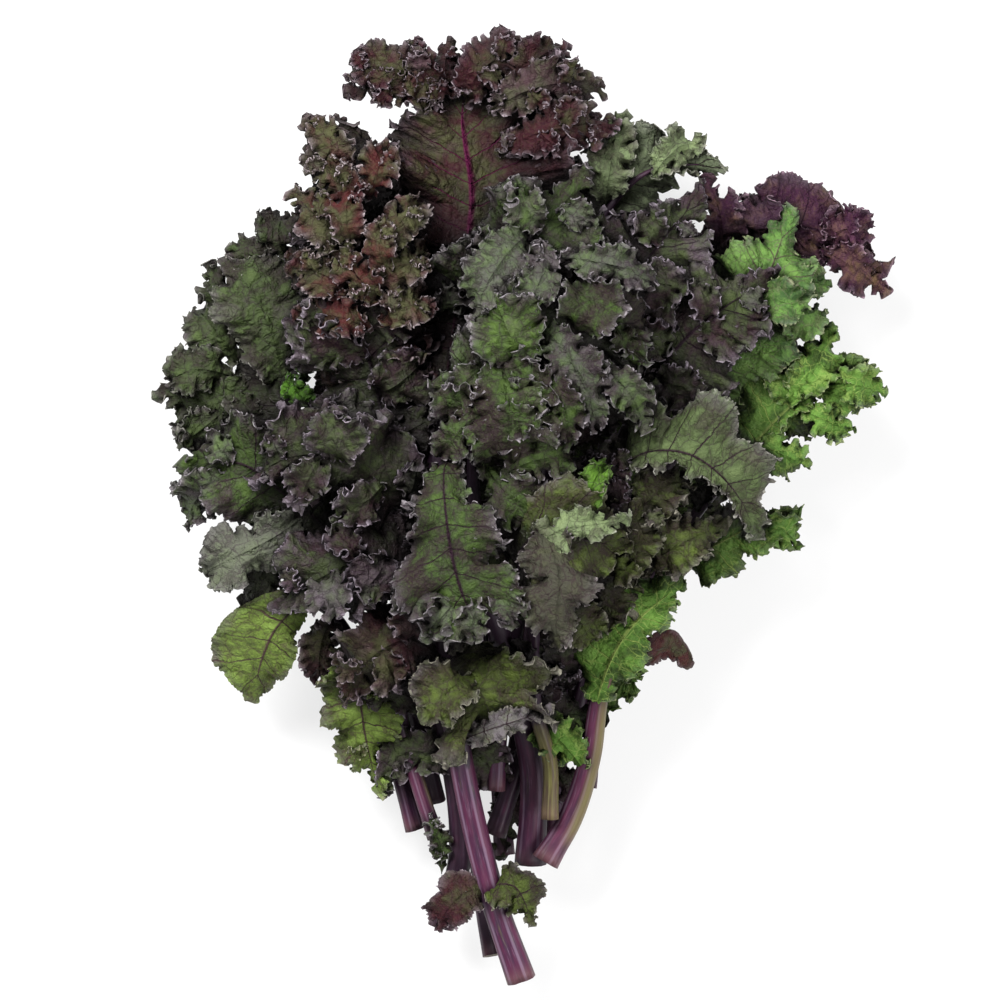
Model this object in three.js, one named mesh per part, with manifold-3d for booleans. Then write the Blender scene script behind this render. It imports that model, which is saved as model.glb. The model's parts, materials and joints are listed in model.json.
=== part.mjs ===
// A bunch of purple curly kale, lying on its side as it would on a kitchen table.
// Each leaf is a fleshy stalk, which runs on under the blade as its midrib, and a thin blade.
// Big leaves are lobed: a lobe is a blade of its own that leaves a stalk part of the way up.
//
// Millimetres, +Z up from the table, +Y from the cut ends towards the leaf tips.
// Stalks are bent cylinders with a groove along their upper side, blades are bent plates.
import * as THREE from "three";
import { mergeVertices } from "three/addons/utils/BufferGeometryUtils.js";
import Module from "manifold-3d";

// ---- Driving dimensions -------------------------------------------------------------------
const BLADE_THICKNESS = 1.5;
const GAP = 0.35; // clearance that every pair of neighbours keeps
const GROOVE_DEPTH = 0.25; // of a stalk's groove, as a share of its radius
const STALK_SIDES = 8;
const STALK_STEP = 24; // length of stalk between two sections
const STALK_ENDS_AT = 0.93; // a midrib fades out before the blade's tip
const TIP_RADIUS_SHARE = 0.3; // a midrib's radius at its end, beside the stalk's at its foot
const BLADE_COLUMNS = 6; // across a blade, both sides of its midrib together
const BLADE_ROW_STEP = 13; // length of blade between two rows
const WAVE_HEIGHT = 0.15; // of a margin's broad waves, as a share of the half width
const WAVES_PER_SIDE = 1.6;
const STEADY = 0.6; // how far side veins keep to the middle one's heading where a blade bends
const PRESSED_BELOW = 8; // blades that would dip under this height lie flat on the table

const COLOURS = {
  purpleStalk: 0x5a3350,
  greenStalk: 0x7d7f45,
  darkBlade: 0x3d3a30,
  redBlade: 0x41302c,
  greenBlade: 0x4c5a33,
  brightBlade: 0x5d7f3a,
  paleBlade: 0x7d866c,
  purpleBlade: 0x4a2f40,
};

// ---- The leaves ---------------------------------------------------------------------------
// A stalk: its curve from the cut end to the blade's tip, the radius at its foot, and the share
// of the curve that is bare before the blade starts. face is the way the blade's upper side
// looks at its tip. cup bends the margins up (over 0) or down, in radians at the margin.
const UP = [0, 0, 1];
const LEAVES = {
  crown: {
    curve: [[-1, -200, 30], [-13, -165, 38], [-24, -120, 47], [-33, -62, 60], [-37, 10, 70],
      [-28, 85, 70], [-22, 128, 66], [-26, 163, 60], [-20, 196, 52]],
    radius: 5.6, bare: 0.6, width: 57, widest: 0.66, cup: 0.25, face: UP, colour: "darkBlade",
  },
  frill_left: {
    curve: [[-35, -178, 22], [-27, -149, 26], [-30, -110, 30], [-45, -60, 42], [-54, 0, 60],
      [-63, 55, 74], [-76, 90, 78], [-91, 113, 68]],
    radius: 5, bare: 0.62, width: 33, widest: 0.5, cup: -0.3, face: UP, colour: "darkBlade",
  },
  droop: {
    curve: [[3, -151, 28], [4, -112, 36], [-8, -62, 66], [-24, -12, 94], [-33, 14, 112],
      [-33, -2, 121], [-28, -30, 117], [-18, -54, 104]],
    radius: 6, bare: 0.66, width: 32, widest: 0.68, cup: -0.5, face: UP, colour: "greenBlade",
  },
  sweep: {
    curve: [[11, -132, 49], [11, -108, 52], [5, -86, 59], [4, -52, 78], [0, -20, 95],
      [8, -10, 102], [24, -14, 99], [42, -18, 86]],
    radius: 3.3, bare: 0.6, width: 22, widest: 0.5, cup: 0.3, face: UP, colour: "greenBlade",
  },
  low_right: {
    curve: [[9, -150, 40], [20, -131, 41], [28, -106, 47], [33, -76, 58], [43, -54, 66],
      [66, -33, 56]],
    radius: 5.4, bare: 0.54, width: 21, widest: 0.5, cup: -0.5, face: UP, colour: "brightBlade",
  },
  veined: {
    curve: [[-12, -139, 24], [-5, -118, 27], [6, -90, 32], [20, -50, 50], [34, -10, 70],
      [48, 20, 87], [70, 21, 97], [88, 6, 92], [97, -12, 80]],
    radius: 4.2, bare: 0.66, width: 31, widest: 0.42, cup: -0.2, face: [-0.1, 0.35, 1],
    colour: "greenBlade",
  },
  dark_right: {
    curve: [[-12, -120, 38], [-10, -92, 42], [-1, -40, 54], [15, 30, 66], [34, 78, 78],
      [54, 106, 78], [74, 130, 66]],
    radius: 3.8, bare: 0.6, width: 30, widest: 0.5, cup: -0.4, face: UP, colour: "darkBlade",
  },
  fan: {
    curve: [[-46, -137, 20], [-54, -108, 24], [-66, -72, 36], [-80, -46, 50], [-92, -41, 58],
      [-103, -50, 58], [-110, -61, 50], [-116, -75, 38]],
    radius: 3.6, bare: 0.66, width: 23, widest: 0.66, cup: -0.25, face: UP, colour: "brightBlade",
  },
  hanging: {
    curve: [[-37, -140, 29], [-43, -122, 33], [-51, -94, 40], [-56, -62, 51], [-64, -48, 59],
      [-72, -60, 58], [-71, -88, 48], [-63, -118, 31]],
    radius: 3.4, bare: 0.6, width: 15, widest: 0.45, cup: -0.5, face: UP, colour: "brightBlade",
  },
  smooth_left: {
    curve: [[-13, -190, 20], [-17, -168, 17], [-21, -135, 16], [-27, -95, 19], [-46, -36, 28],
      [-76, 10, 40], [-99, 44, 48], [-107, 92, 42]],
    radius: 3.8, bare: 0.64, width: 34, widest: 0.5, cup: -0.2, face: [-0.35, 0, 1],
    colour: "greenBlade",
  },
  low_left: {
    curve: [[-37, -125, 18], [-46, -85, 32], [-62, -40, 50], [-84, -8, 66], [-100, 5, 70],
      [-119, 18, 67], [-148, 20, 54]],
    radius: 3.8, bare: 0.6, width: 27, widest: 0.5, cup: 0.15, face: UP, colour: "greenBlade",
  },
  back_left: {
    curve: [[-8, -148, 6], [-13, -100, 5], [-42, -30, 5], [-72, 40, 5], [-98, 98, 3]],
    radius: 4, bare: 0.36, width: 42, widest: 0.5, cup: -0.5, face: UP, colour: "darkBlade",
  },
  back_middle: {
    curve: [[3, -143, 6], [-3, -90, 6], [-9, 0, 6], [-20, 80, 6], [-30, 150, 4]],
    radius: 4, bare: 0.36, width: 48, widest: 0.5, cup: -0.4, face: UP, colour: "darkBlade",
  },
  back_right: {
    curve: [[13, -140, 7], [17, -90, 5], [38, -20, 5], [64, 45, 5], [92, 98, 3]],
    radius: 4, bare: 0.36, width: 42, widest: 0.5, cup: -0.5, face: UP, colour: "greenBlade",
  },
  dark_low: {
    curve: [[12, -104, 30], [15, -80, 30], [23, -20, 46], [46, 38, 62], [66, 68, 75],
      [84, 83, 75], [103, 94, 64]],
    radius: 3.6, bare: 0.64, width: 29, widest: 0.45, cup: -0.4, face: UP, colour: "darkBlade",
  },
  bright_up: {
    curve: [[18, -106, 23], [24, -80, 26], [42, -20, 36], [68, 30, 48], [88, 68, 58],
      [102, 95, 61], [112, 122, 51]],
    radius: 3.5, bare: 0.64, width: 25, widest: 0.5, cup: -0.3, face: UP, colour: "brightBlade",
  },
  far_green: {
    curve: [[27, -119, 24], [34, -70, 24], [60, -22, 30], [92, 20, 46], [120, 47, 51],
      [149, 58, 42]],
    radius: 3.5, bare: 0.56, width: 25, widest: 0.55, cup: -0.3, face: UP, colour: "brightBlade",
  },
  far_purple: {
    curve: [[7, -112, 20], [17, -60, 18], [38, 10, 20], [64, 68, 28], [90, 106, 37],
      [119, 117, 40], [154, 98, 30]],
    radius: 3.6, bare: 0.64, width: 25, widest: 0.6, cup: -0.3, face: UP, colour: "purpleBlade",
  },
  pale_top: {
    curve: [[-3, -105, 19], [3, -60, 22], [8, 20, 30], [20, 90, 43], [34, 122, 52],
      [52, 140, 55], [82, 144, 45]],
    radius: 3.6, bare: 0.66, width: 25, widest: 0.5, cup: 0.25, face: [0, 0, -1],
    colour: "paleBlade",
  },
  saddle: {
    curve: [[-18, -118, 29], [-18, -70, 48], [-20, -10, 76], [-19, 30, 102], [2, 60, 114],
      [28, 74, 109], [55, 76, 95]],
    radius: 3.8, bare: 0.62, width: 36, widest: 0.5, cup: -0.55, face: UP, colour: "greenBlade",
  },
};

// A lobe: the leaf whose stalk it leaves, the share of that stalk's curve where it does, and the
// rest of its own midrib as steps from that point.
const LOBES = {
  red_top: {
    of: "frill_left", at: 0.67, steps: [[-6, 45, 0], [-12, 92, -8], [-15, 139, -18]],
    width: 33, widest: 0.6, cup: -0.3, face: UP, colour: "redBlade",
  },
  shoulder: {
    of: "crown", at: 0.7, steps: [[18, 18, 24], [38, 40, 28], [56, 62, 18]],
    width: 30, widest: 0.5, cup: -0.4, face: UP, colour: "greenBlade",
  },
  olive_left: {
    of: "smooth_left", at: 0.86, steps: [[-5, 24, -4], [-12, 44, -8], [-22, 56, -14]],
    width: 21, widest: 0.6, cup: -0.2, face: UP, colour: "greenBlade",
  },
  far_left: {
    of: "smooth_left", at: 0.8, steps: [[-24, 2, 2], [-42, 10, -2], [-60, 16, -12]],
    width: 21, widest: 0.6, cup: -0.4, face: UP, colour: "darkBlade",
  },
  pale_left: {
    of: "low_left", at: 0.7, steps: [[-16, -14, 6], [-34, -24, 2], [-48, -30, -10]],
    width: 16, widest: 0.6, cup: 0.3, face: [0, 0, -1], colour: "paleBlade",
  },
  reach_left: {
    of: "crown", at: 0.5, steps: [[-22, 14, 22], [-44, 25, 26], [-62, 24, 20], [-77, 15, 10]],
    width: 27, widest: 0.55, cup: -0.5, face: UP, colour: "darkBlade",
  },
  mid_left: {
    of: "crown", at: 0.42, steps: [[-24, 16, 24], [-46, 8, 22], [-68, -5, 8]],
    width: 25, widest: 0.55, cup: -0.4, face: UP, colour: "darkBlade",
  },
  curl_left: {
    of: "crown", at: 0.35, steps: [[-18, 8, 20], [-34, -2, 18], [-48, -18, 4]],
    width: 25, widest: 0.55, cup: -0.4, face: UP, colour: "redBlade",
  },
  apron: {
    of: "crown", at: 0.35, steps: [[8, -1, 22], [16, -18, 30], [20, -34, 24]],
    width: 38, widest: 0.6, cup: -0.35, face: [0, -0.3, 1], colour: "greenBlade",
  },
  fold_right: {
    of: "saddle", at: 0.6, steps: [[12, 16, 14], [28, 22, 17], [44, 18, 6]],
    width: 22, widest: 0.5, cup: -0.4, face: UP, colour: "greenBlade",
  },
  wedge: {
    of: "sweep", at: 0.78, steps: [[6, -20, 9], [5, -36, 4], [6, -50, -9]],
    width: 16, widest: 0.45, cup: 0.35, face: [0, 0, -1], colour: "paleBlade",
  },
  ribbon: {
    of: "sweep", at: 0.68, steps: [[16, 12, 14], [30, 14, 12], [44, 16, 2]],
    width: 13, widest: 0.5, cup: -0.3, face: UP, colour: "brightBlade",
  },
  olive_right: {
    of: "veined", at: 0.34, steps: [[15, 8, 18], [38, 24, 20], [56, 40, 10]],
    width: 24, widest: 0.5, cup: -0.4, face: UP, colour: "greenBlade",
  },
  bright_low: {
    of: "far_green", at: 0.42, steps: [[22, 10, 14], [42, 20, 18], [58, 24, 10]],
    width: 19, widest: 0.55, cup: -0.3, face: UP, colour: "brightBlade",
  },
  brown_tip: {
    of: "low_right", at: 0.7, steps: [[11, -3, -6], [24, -2, -16], [34, -11, -25]],
    width: 8, widest: 0.65, cup: -0.3, face: UP, colour: "redBlade",
  },
  yellow_curl: {
    of: "far_green", at: 0.13, steps: [[8, 8, 6], [14, 18, 8], [22, 30, 6]],
    width: 8, widest: 0.55, cup: -0.3, face: UP, colour: "brightBlade",
  },
  leaflet_left: {
    of: "crown", at: 0.1, steps: [[-12, 0, 7], [-19, -3, 8], [-27, -9, 0]],
    width: 12, widest: 0.5, cup: -0.2, face: UP, colour: "redBlade",
  },
  leaflet_right: {
    of: "crown", at: 0.1, steps: [[8, -2, 10], [13, -5, 8], [18, -12, -1]],
    width: 11, widest: 0.5, cup: -0.2, face: UP, colour: "greenBlade",
  },
  leaflet_low: {
    of: "hanging", at: 0.06, steps: [[2, -4, 5], [5, -12, 3], [6, -22, -4]],
    width: 6, widest: 0.6, cup: -0.1, face: UP, colour: "greenBlade",
  },
};

// ---- Curves with a frame ------------------------------------------------------------------
// Samples a curve and carries the blade's upper side back from the tip without twisting it.
function framedCurve(points, face, samples = 96) {
  const curve = new THREE.CatmullRomCurve3(points, false, "centripetal");
  const frames = curve.computeFrenetFrames(samples, false);
  const tip = frames.tangents[samples];
  const wanted = new THREE.Vector3(...face).addScaledVector(tip, -tip.dot(new THREE.Vector3(...face)));
  const turn = Math.atan2(wanted.dot(frames.binormals[samples]), wanted.dot(frames.normals[samples]));
  return {
    length: curve.getLength(),
    at(share) {
      const k = Math.round(THREE.MathUtils.clamp(share, 0, 1) * samples);
      const tangent = frames.tangents[k];
      const up = frames.normals[k].clone().applyAxisAngle(tangent, turn);
      return { point: curve.getPointAt(k / samples), tangent, up, side: tangent.clone().cross(up) };
    },
  };
}

// ---- Stalks: bent cylinders ---------------------------------------------------------------
function stalkRadius(leaf, share) {
  const taper = THREE.MathUtils.lerp(1, TIP_RADIUS_SHARE, share ** 1.4);
  const foot = 1 + 0.12 * Math.max(0, 1 - share / 0.06);
  return leaf.radius * taper * foot;
}

function stalkGeometry(leaf, extra = 0) {
  const steps = Math.round((leaf.frame.length * STALK_ENDS_AT) / STALK_STEP);
  const geometry = new THREE.CylinderGeometry(1, 1, 1, STALK_SIDES, steps);
  const position = geometry.attributes.position;
  const v = new THREE.Vector3();
  for (let i = 0; i < position.count; i++) {
    v.fromBufferAttribute(position, i);
    const share = (v.y + 0.5) * STALK_ENDS_AT;
    const { point, up, side } = leaf.frame.at(share);
    const groove = v.z > 0.99 ? 1 - GROOVE_DEPTH : 1;
    const radius = (stalkRadius(leaf, share) + extra) * groove;
    v.copy(point.clone().addScaledVector(side, v.x * radius).addScaledVector(up, v.z * radius));
    position.setXYZ(i, v.x, v.y, v.z);
  }
  return closed(geometry);
}

// ---- Blades: bent plates ------------------------------------------------------------------
// Half width along the blade: a rounded leaf outline, widest at the given share of its length.
function outline(share, widest) {
  const skewed = share ** (Math.log(0.5) / Math.log(widest));
  return 0.12 + 0.88 * Math.sin(Math.PI * skewed) ** 0.75;
}

function bladeGeometry(blade, thickness, extra = 0) {
  const rows = Math.max(4, Math.round(blade.span / BLADE_ROW_STEP));
  const geometry = new THREE.BoxGeometry(1, 1, 1, BLADE_COLUMNS, rows, 1);
  const position = geometry.attributes.position;
  const bend = blade.cup / blade.width;
  const middle = blade.spine(0.5);
  for (let i = 0; i < position.count; i++) {
    const along = position.getY(i) + 0.5;
    const across = position.getX(i) * 2;
    const { point, tangent, up, side } = blade.spine(along);
    const half = blade.width * outline(along, blade.widest) + extra;
    side.lerp(middle.side, STEADY).normalize();
    point.addScaledVector(tangent, extra * (2 * along - 1));
    const reach = Math.abs(across) * half;
    const forward = THREE.MathUtils.lerp(0.1, 0.75, along); // side veins lean towards the tip
    const out = side.clone().multiplyScalar(Math.sign(across) * Math.cos(forward));
    out.addScaledVector(tangent, across ? Math.sin(forward) : 0);
    const wave = WAVE_HEIGHT * half * across ** 2 *
      Math.sin(2 * Math.PI * WAVES_PER_SIDE * along + Math.sign(across) + blade.phase);
    const lift = (1 - Math.cos(bend * reach)) / bend + wave;
    point.addScaledVector(out, Math.sin(bend * reach) / bend).addScaledVector(up, lift);
    const normal = up.clone().multiplyScalar(Math.cos(bend * reach));
    normal.addScaledVector(out, -Math.sin(bend * reach)).normalize();
    if (point.z < PRESSED_BELOW) {
      const pressed = Math.min(1, (PRESSED_BELOW - point.z) / (0.5 * PRESSED_BELOW));
      normal.lerp(new THREE.Vector3(0, 0, Math.sign(normal.z)), pressed).normalize();
      point.z = THREE.MathUtils.lerp(point.z, BLADE_THICKNESS / 2, pressed);
    }
    point.addScaledVector(normal, position.getZ(i) * thickness);
    position.setXYZ(i, point.x, point.y, point.z);
  }
  return closed(geometry);
}

// A leaf's own blade starts where its stalk stops being bare, and lies on the midrib.
function ownBlade(leaf, phase) {
  const spine = (along) => {
    const share = THREE.MathUtils.lerp(leaf.bare, 1, along);
    const frame = leaf.frame.at(share);
    frame.point.addScaledVector(frame.up, stalkRadius(leaf, share) + GAP + BLADE_THICKNESS / 2);
    return frame;
  };
  return { ...leaf, spine, phase, span: leaf.frame.length * (1 - leaf.bare) };
}

function lobeBlade(lobe, phase) {
  const foot = LEAVES[lobe.of].frame.at(lobe.at).point;
  const points = [foot, ...lobe.steps.map((step) => foot.clone().add(new THREE.Vector3(...step)))];
  const frame = framedCurve(points, lobe.face, 48);
  return { ...lobe, spine: (along) => frame.at(along), phase, span: frame.length };
}

// ---- Solids -------------------------------------------------------------------------------
function closed(geometry) {
  geometry.deleteAttribute("normal");
  geometry.deleteAttribute("uv");
  return mergeVertices(geometry, 1e-3);
}

const wasm = await Module();
wasm.setup();

function solid(geometry) {
  return new wasm.Manifold(new wasm.Mesh({
    numProp: 3,
    vertProperties: new Float32Array(geometry.attributes.position.array),
    triVerts: new Uint32Array(geometry.index.array),
  }));
}

function meshGeometry(manifold) {
  const { numProp, numVert, vertProperties, triVerts } = manifold.getMesh();
  const vertices = new Float32Array(numVert * 3);
  for (let i = 0; i < numVert; i++) {
    vertices.set(vertProperties.subarray(i * numProp, i * numProp + 3), i * 3);
  }
  const geometry = new THREE.BufferGeometry();
  geometry.setAttribute("position", new THREE.BufferAttribute(vertices, 3));
  geometry.setIndex(new THREE.BufferAttribute(triVerts, 1));
  return geometry;
}

// Cuts a blade back from everything it would run through, and keeps its largest piece.
function cleared(blade, cutters) {
  let left = blade;
  for (const cutter of cutters) {
    if (left.intersect(cutter).volume() > 0) {
      left = left.subtract(cutter);
    }
  }
  return left.decompose().sort((a, b) => b.volume() - a.volume())[0];
}

// ---- The bunch ----------------------------------------------------------------------------
function material(colour, roughness) {
  return new THREE.MeshStandardMaterial({ color: COLOURS[colour], roughness, metalness: 0 });
}

function buildBunch() {
  const bunch = new THREE.Group();
  const cutters = [];
  for (const [name, leaf] of Object.entries(LEAVES)) {
    leaf.frame = framedCurve(leaf.curve.map((p) => new THREE.Vector3(...p)), leaf.face);
    const colour = name === "sweep" ? "greenStalk" : "purpleStalk";
    const stalk = new THREE.Mesh(stalkGeometry(leaf), material(colour, 0.45));
    stalk.name = `stalk_${name}`;
    bunch.add(stalk);
    cutters.push(solid(stalkGeometry(leaf, GAP)));
  }
  const blades = [
    ...Object.entries(LEAVES).map(([name, leaf], i) => [name, ownBlade(leaf, i * 1.7)]),
    ...Object.entries(LOBES).map(([name, lobe], i) => [name, lobeBlade(lobe, i * 2.3)]),
  ];
  for (const [name, blade] of blades) {
    const whole = solid(bladeGeometry(blade, BLADE_THICKNESS));
    const piece = new THREE.Mesh(meshGeometry(cleared(whole, cutters)), material(blade.colour, 0.6));
    piece.name = `blade_${name}`;
    bunch.add(piece);
    cutters.push(solid(bladeGeometry(blade, BLADE_THICKNESS + 2 * GAP, GAP)));
  }
  const box = new THREE.Box3().setFromObject(bunch);
  const centre = box.getCenter(new THREE.Vector3());
  bunch.position.set(-centre.x, -centre.y, -box.min.z);
  return bunch;
}

export default buildBunch();
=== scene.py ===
import json
import math

import bpy
import numpy as np
from bpy.props import FloatProperty, FloatVectorProperty, PointerProperty
from bpy.types import Operator, Panel, PropertyGroup
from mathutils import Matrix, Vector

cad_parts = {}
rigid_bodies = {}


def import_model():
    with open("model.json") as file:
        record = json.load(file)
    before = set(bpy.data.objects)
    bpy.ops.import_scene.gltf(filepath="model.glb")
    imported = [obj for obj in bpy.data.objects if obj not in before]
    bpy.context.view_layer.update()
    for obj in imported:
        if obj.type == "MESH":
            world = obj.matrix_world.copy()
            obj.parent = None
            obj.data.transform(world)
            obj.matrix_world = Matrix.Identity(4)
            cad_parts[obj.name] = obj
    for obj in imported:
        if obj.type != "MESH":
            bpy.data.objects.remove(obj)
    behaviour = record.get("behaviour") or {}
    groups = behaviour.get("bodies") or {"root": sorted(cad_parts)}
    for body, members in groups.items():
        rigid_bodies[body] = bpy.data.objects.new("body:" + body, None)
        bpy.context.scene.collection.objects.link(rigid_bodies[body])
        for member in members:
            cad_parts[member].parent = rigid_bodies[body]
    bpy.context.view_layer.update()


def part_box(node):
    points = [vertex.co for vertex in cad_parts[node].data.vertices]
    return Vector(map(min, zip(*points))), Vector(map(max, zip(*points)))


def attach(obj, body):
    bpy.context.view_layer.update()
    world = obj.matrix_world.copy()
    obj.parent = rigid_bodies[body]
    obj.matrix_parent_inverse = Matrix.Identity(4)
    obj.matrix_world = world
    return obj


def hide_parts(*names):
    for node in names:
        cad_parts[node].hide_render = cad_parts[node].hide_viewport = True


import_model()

bl_info = {
    "name": "Purple Kale Bunch",
    "version": (1, 0, 0),
    "blender": (4, 5, 0),
    "location": "View3D > Sidebar > Kale",
    "description": "Frilled leaves and ridged stalks of a bunch of purple curly kale",
    "category": "Add Mesh",
}

MM = 0.001
UP = (0, 0, 1)
DOWN = (0, 0, -1)

# ---- The leaves, in millimetres ----------------------------------------------------------
# What a blade is like where its entry doesn't say otherwise. widest: the place along it where it
# is widest. cup: how far the margins bend up (over 0) or down. face: the way the upper side looks
# at the tip. crowd, grow, frill, teeth: factors for its side lobes, the growth of its margin, its
# first waves and its teeth. depth, lobes: how deep the outline is cut, and how often. blunt: how
# far it goes on past the tip. sides: factors for its left and right half. above: how far it lies
# over the stalk's middle, in radii. detail: a factor for its mesh. lilac: its share of grey lilac
# bloom, or of bright green where it's under 0.
USUAL = dict(widest=0.5, cup=-0.3, face=UP, crowd=1.0, grow=1.0, frill=1.0, teeth=1.0, depth=0.3,
             lobes=2.6, blunt=0.1, sides=(1.0, 1.0), above=0.8, detail=1.0, lilac=0.0)

# curve runs from the cut end of the stalk to the tip of the blade. radius is the stalk's at its
# cut end, bare the share of the curve with no blade, and width the blade's half width.
LEAVES = {
    "crown": dict(USUAL, curve=[(-1, -200, 30), (-13, -165, 38), (-24, -120, 47), (-33, -62, 60),
        (-37, 10, 70), (-28, 85, 70), (-22, 128, 66), (-26, 163, 60), (-20, 196, 52)],
        radius=5.6, bare=0.6, width=57, widest=0.66, cup=0.25, finish="dark", tint="crown",
        crowd=0.0, grow=1.2, frill=1.2, blunt=-0.13, sides=(0.66, 1.0)),
    "frill_left": dict(USUAL, curve=[(-35, -178, 22), (-27, -149, 26), (-30, -110, 30),
        (-45, -60, 42), (-54, 0, 60), (-63, 55, 74), (-76, 90, 78), (-91, 113, 68)],
        radius=5, bare=0.62, width=33, finish="dark"),
    "droop": dict(USUAL, curve=[(3, -151, 28), (4, -112, 36), (-8, -62, 66), (-24, -12, 94),
        (-33, 14, 112), (-33, -2, 121), (-28, -30, 117), (-18, -54, 104)],
        radius=6, bare=0.66, width=30, widest=0.72, cup=-0.5, finish="green", crowd=0.0, grow=0.7,
        lobes=3.4, blunt=0.02, above=1.15),
    "sweep": dict(USUAL, curve=[(11, -132, 49), (11, -108, 52), (5, -86, 59), (4, -52, 78),
        (0, -20, 95), (8, -10, 102), (24, -14, 99), (42, -18, 86)],
        radius=3.3, bare=0.6, width=24, cup=0.3, finish="green", tint="olive", crowd=0.0,
        grow=0.35, frill=0.5),
    "low_right": dict(USUAL, curve=[(9, -150, 40), (20, -131, 41), (28, -106, 47), (33, -76, 58),
        (43, -54, 66), (66, -33, 56)],
        radius=5.4, bare=0.54, width=27, cup=-0.5, finish="bright", crowd=0.2, grow=0.6, frill=0.8,
        sides=(1.25, 0.5), above=1.1),
    "veined": dict(USUAL, curve=[(-12, -139, 24), (-5, -118, 27), (6, -90, 32), (20, -50, 50),
        (34, -10, 70), (48, 20, 87), (70, 21, 97), (88, 6, 92), (97, -12, 80)],
        radius=4.2, bare=0.66, width=28, widest=0.42, cup=-0.2, face=(-0.1, 0.35, 1),
        finish="green", tint="veined", crowd=0.0, grow=0.35, frill=0.4, teeth=1.3, depth=0.42,
        lobes=3.6, sides=(1.0, 0.28)),
    "dark_right": dict(USUAL, curve=[(-12, -120, 38), (-10, -92, 42), (-1, -40, 54), (15, 30, 66),
        (34, 78, 78), (54, 106, 78), (74, 130, 66)],
        radius=3.8, bare=0.6, width=30, cup=-0.4, finish="dark"),
    "fan": dict(USUAL, curve=[(-46, -137, 20), (-54, -108, 24), (-66, -72, 36), (-80, -46, 50),
        (-92, -41, 58), (-103, -50, 58), (-109, -62, 50), (-113, -76, 37)],
        radius=3.6, bare=0.66, width=23, widest=0.66, cup=-0.25, finish="bright", tint="round",
        crowd=0.0, grow=0.2, frill=0.3, teeth=0.3, depth=0.05, blunt=0.35, sides=(0.62, 1.1)),
    "hanging": dict(USUAL, curve=[(-37, -140, 29), (-43, -122, 33), (-51, -94, 40), (-56, -62, 51),
        (-62, -48, 59), (-69, -60, 58), (-68, -88, 48), (-62, -118, 31)],
        radius=3.4, bare=0.6, width=18, widest=0.45, cup=-0.5, finish="bright", tint="round",
        crowd=0.3, grow=0.7),
    "smooth_left": dict(USUAL, curve=[(-13, -190, 20), (-17, -168, 17), (-21, -135, 16),
        (-27, -95, 19), (-46, -36, 28), (-76, 10, 40), (-99, 44, 48), (-107, 92, 42)],
        radius=3.8, bare=0.64, width=27, cup=-0.2, face=(-0.35, 0, 1), finish="green", tint="dull",
        crowd=0.0, grow=0.3, frill=0.4, depth=0.12, sides=(1.0, 0.12)),
    "low_left": dict(USUAL, curve=[(-37, -125, 18), (-46, -85, 32), (-62, -40, 50), (-84, -8, 66),
        (-100, 5, 70), (-117, 17, 67), (-141, 17, 54)],
        radius=3.8, bare=0.6, width=27, cup=0.15, finish="green", crowd=0.5, grow=0.7),
    "back_left": dict(USUAL, curve=[(-8, -148, 6), (-13, -100, 5), (-42, -30, 5), (-72, 40, 5),
        (-98, 98, 3)],
        radius=4, bare=0.36, width=42, cup=-0.5, finish="dark", crowd=0, sides=(0.4, 1.0),
        detail=0.6),
    "back_middle": dict(USUAL, curve=[(3, -143, 6), (-3, -90, 6), (-9, 0, 6), (-20, 80, 6),
        (-30, 150, 4)],
        radius=4, bare=0.36, width=48, cup=-0.4, finish="dark", crowd=0, detail=0.6),
    "back_right": dict(USUAL, curve=[(13, -140, 7), (17, -90, 5), (38, -20, 5), (64, 45, 5),
        (92, 98, 3)],
        radius=4, bare=0.36, width=42, cup=-0.5, finish="green", crowd=0, detail=0.6),
    "dark_low": dict(USUAL, curve=[(12, -104, 30), (15, -80, 30), (23, -20, 46), (46, 38, 62),
        (66, 68, 75), (84, 83, 75), (103, 94, 64)],
        radius=3.6, bare=0.64, width=29, widest=0.45, cup=-0.4, finish="dark"),
    "bright_up": dict(USUAL, curve=[(18, -106, 23), (24, -80, 26), (42, -20, 36), (68, 30, 48),
        (88, 68, 58), (102, 95, 61), (112, 122, 51)],
        radius=3.5, bare=0.64, width=25, finish="bright", tint="fresh", crowd=0.3, grow=0.5,
        frill=0.7),
    "far_green": dict(USUAL, curve=[(27, -119, 24), (34, -70, 24), (60, -22, 30), (92, 20, 46),
        (120, 47, 51), (149, 58, 42)],
        radius=3.5, bare=0.56, width=27, widest=0.55, finish="bright", crowd=0.5, grow=0.6,
        frill=0.8, blunt=-0.1, sides=(1.15, 0.25)),
    "far_purple": dict(USUAL, curve=[(7, -112, 20), (17, -60, 18), (38, 10, 20), (64, 68, 28),
        (90, 106, 37), (119, 117, 40), (151, 99, 30)],
        radius=3.6, bare=0.64, width=23, widest=0.6, finish="purple"),
    "pale_top": dict(USUAL, curve=[(-3, -105, 19), (3, -60, 22), (8, 20, 30), (20, 90, 43),
        (34, 122, 52), (52, 140, 55), (82, 144, 45)],
        radius=3.6, bare=0.66, width=25, cup=0.25, face=DOWN, finish="pale", crowd=0.0, grow=0.6,
        sides=(0.7, 1.0)),
    "saddle": dict(USUAL, curve=[(-18, -118, 29), (-18, -70, 48), (-20, -10, 76), (-19, 30, 102),
        (2, 60, 114), (28, 74, 109), (55, 76, 95)],
        radius=3.8, bare=0.62, width=36, cup=-0.55, finish="green"),
}

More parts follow.
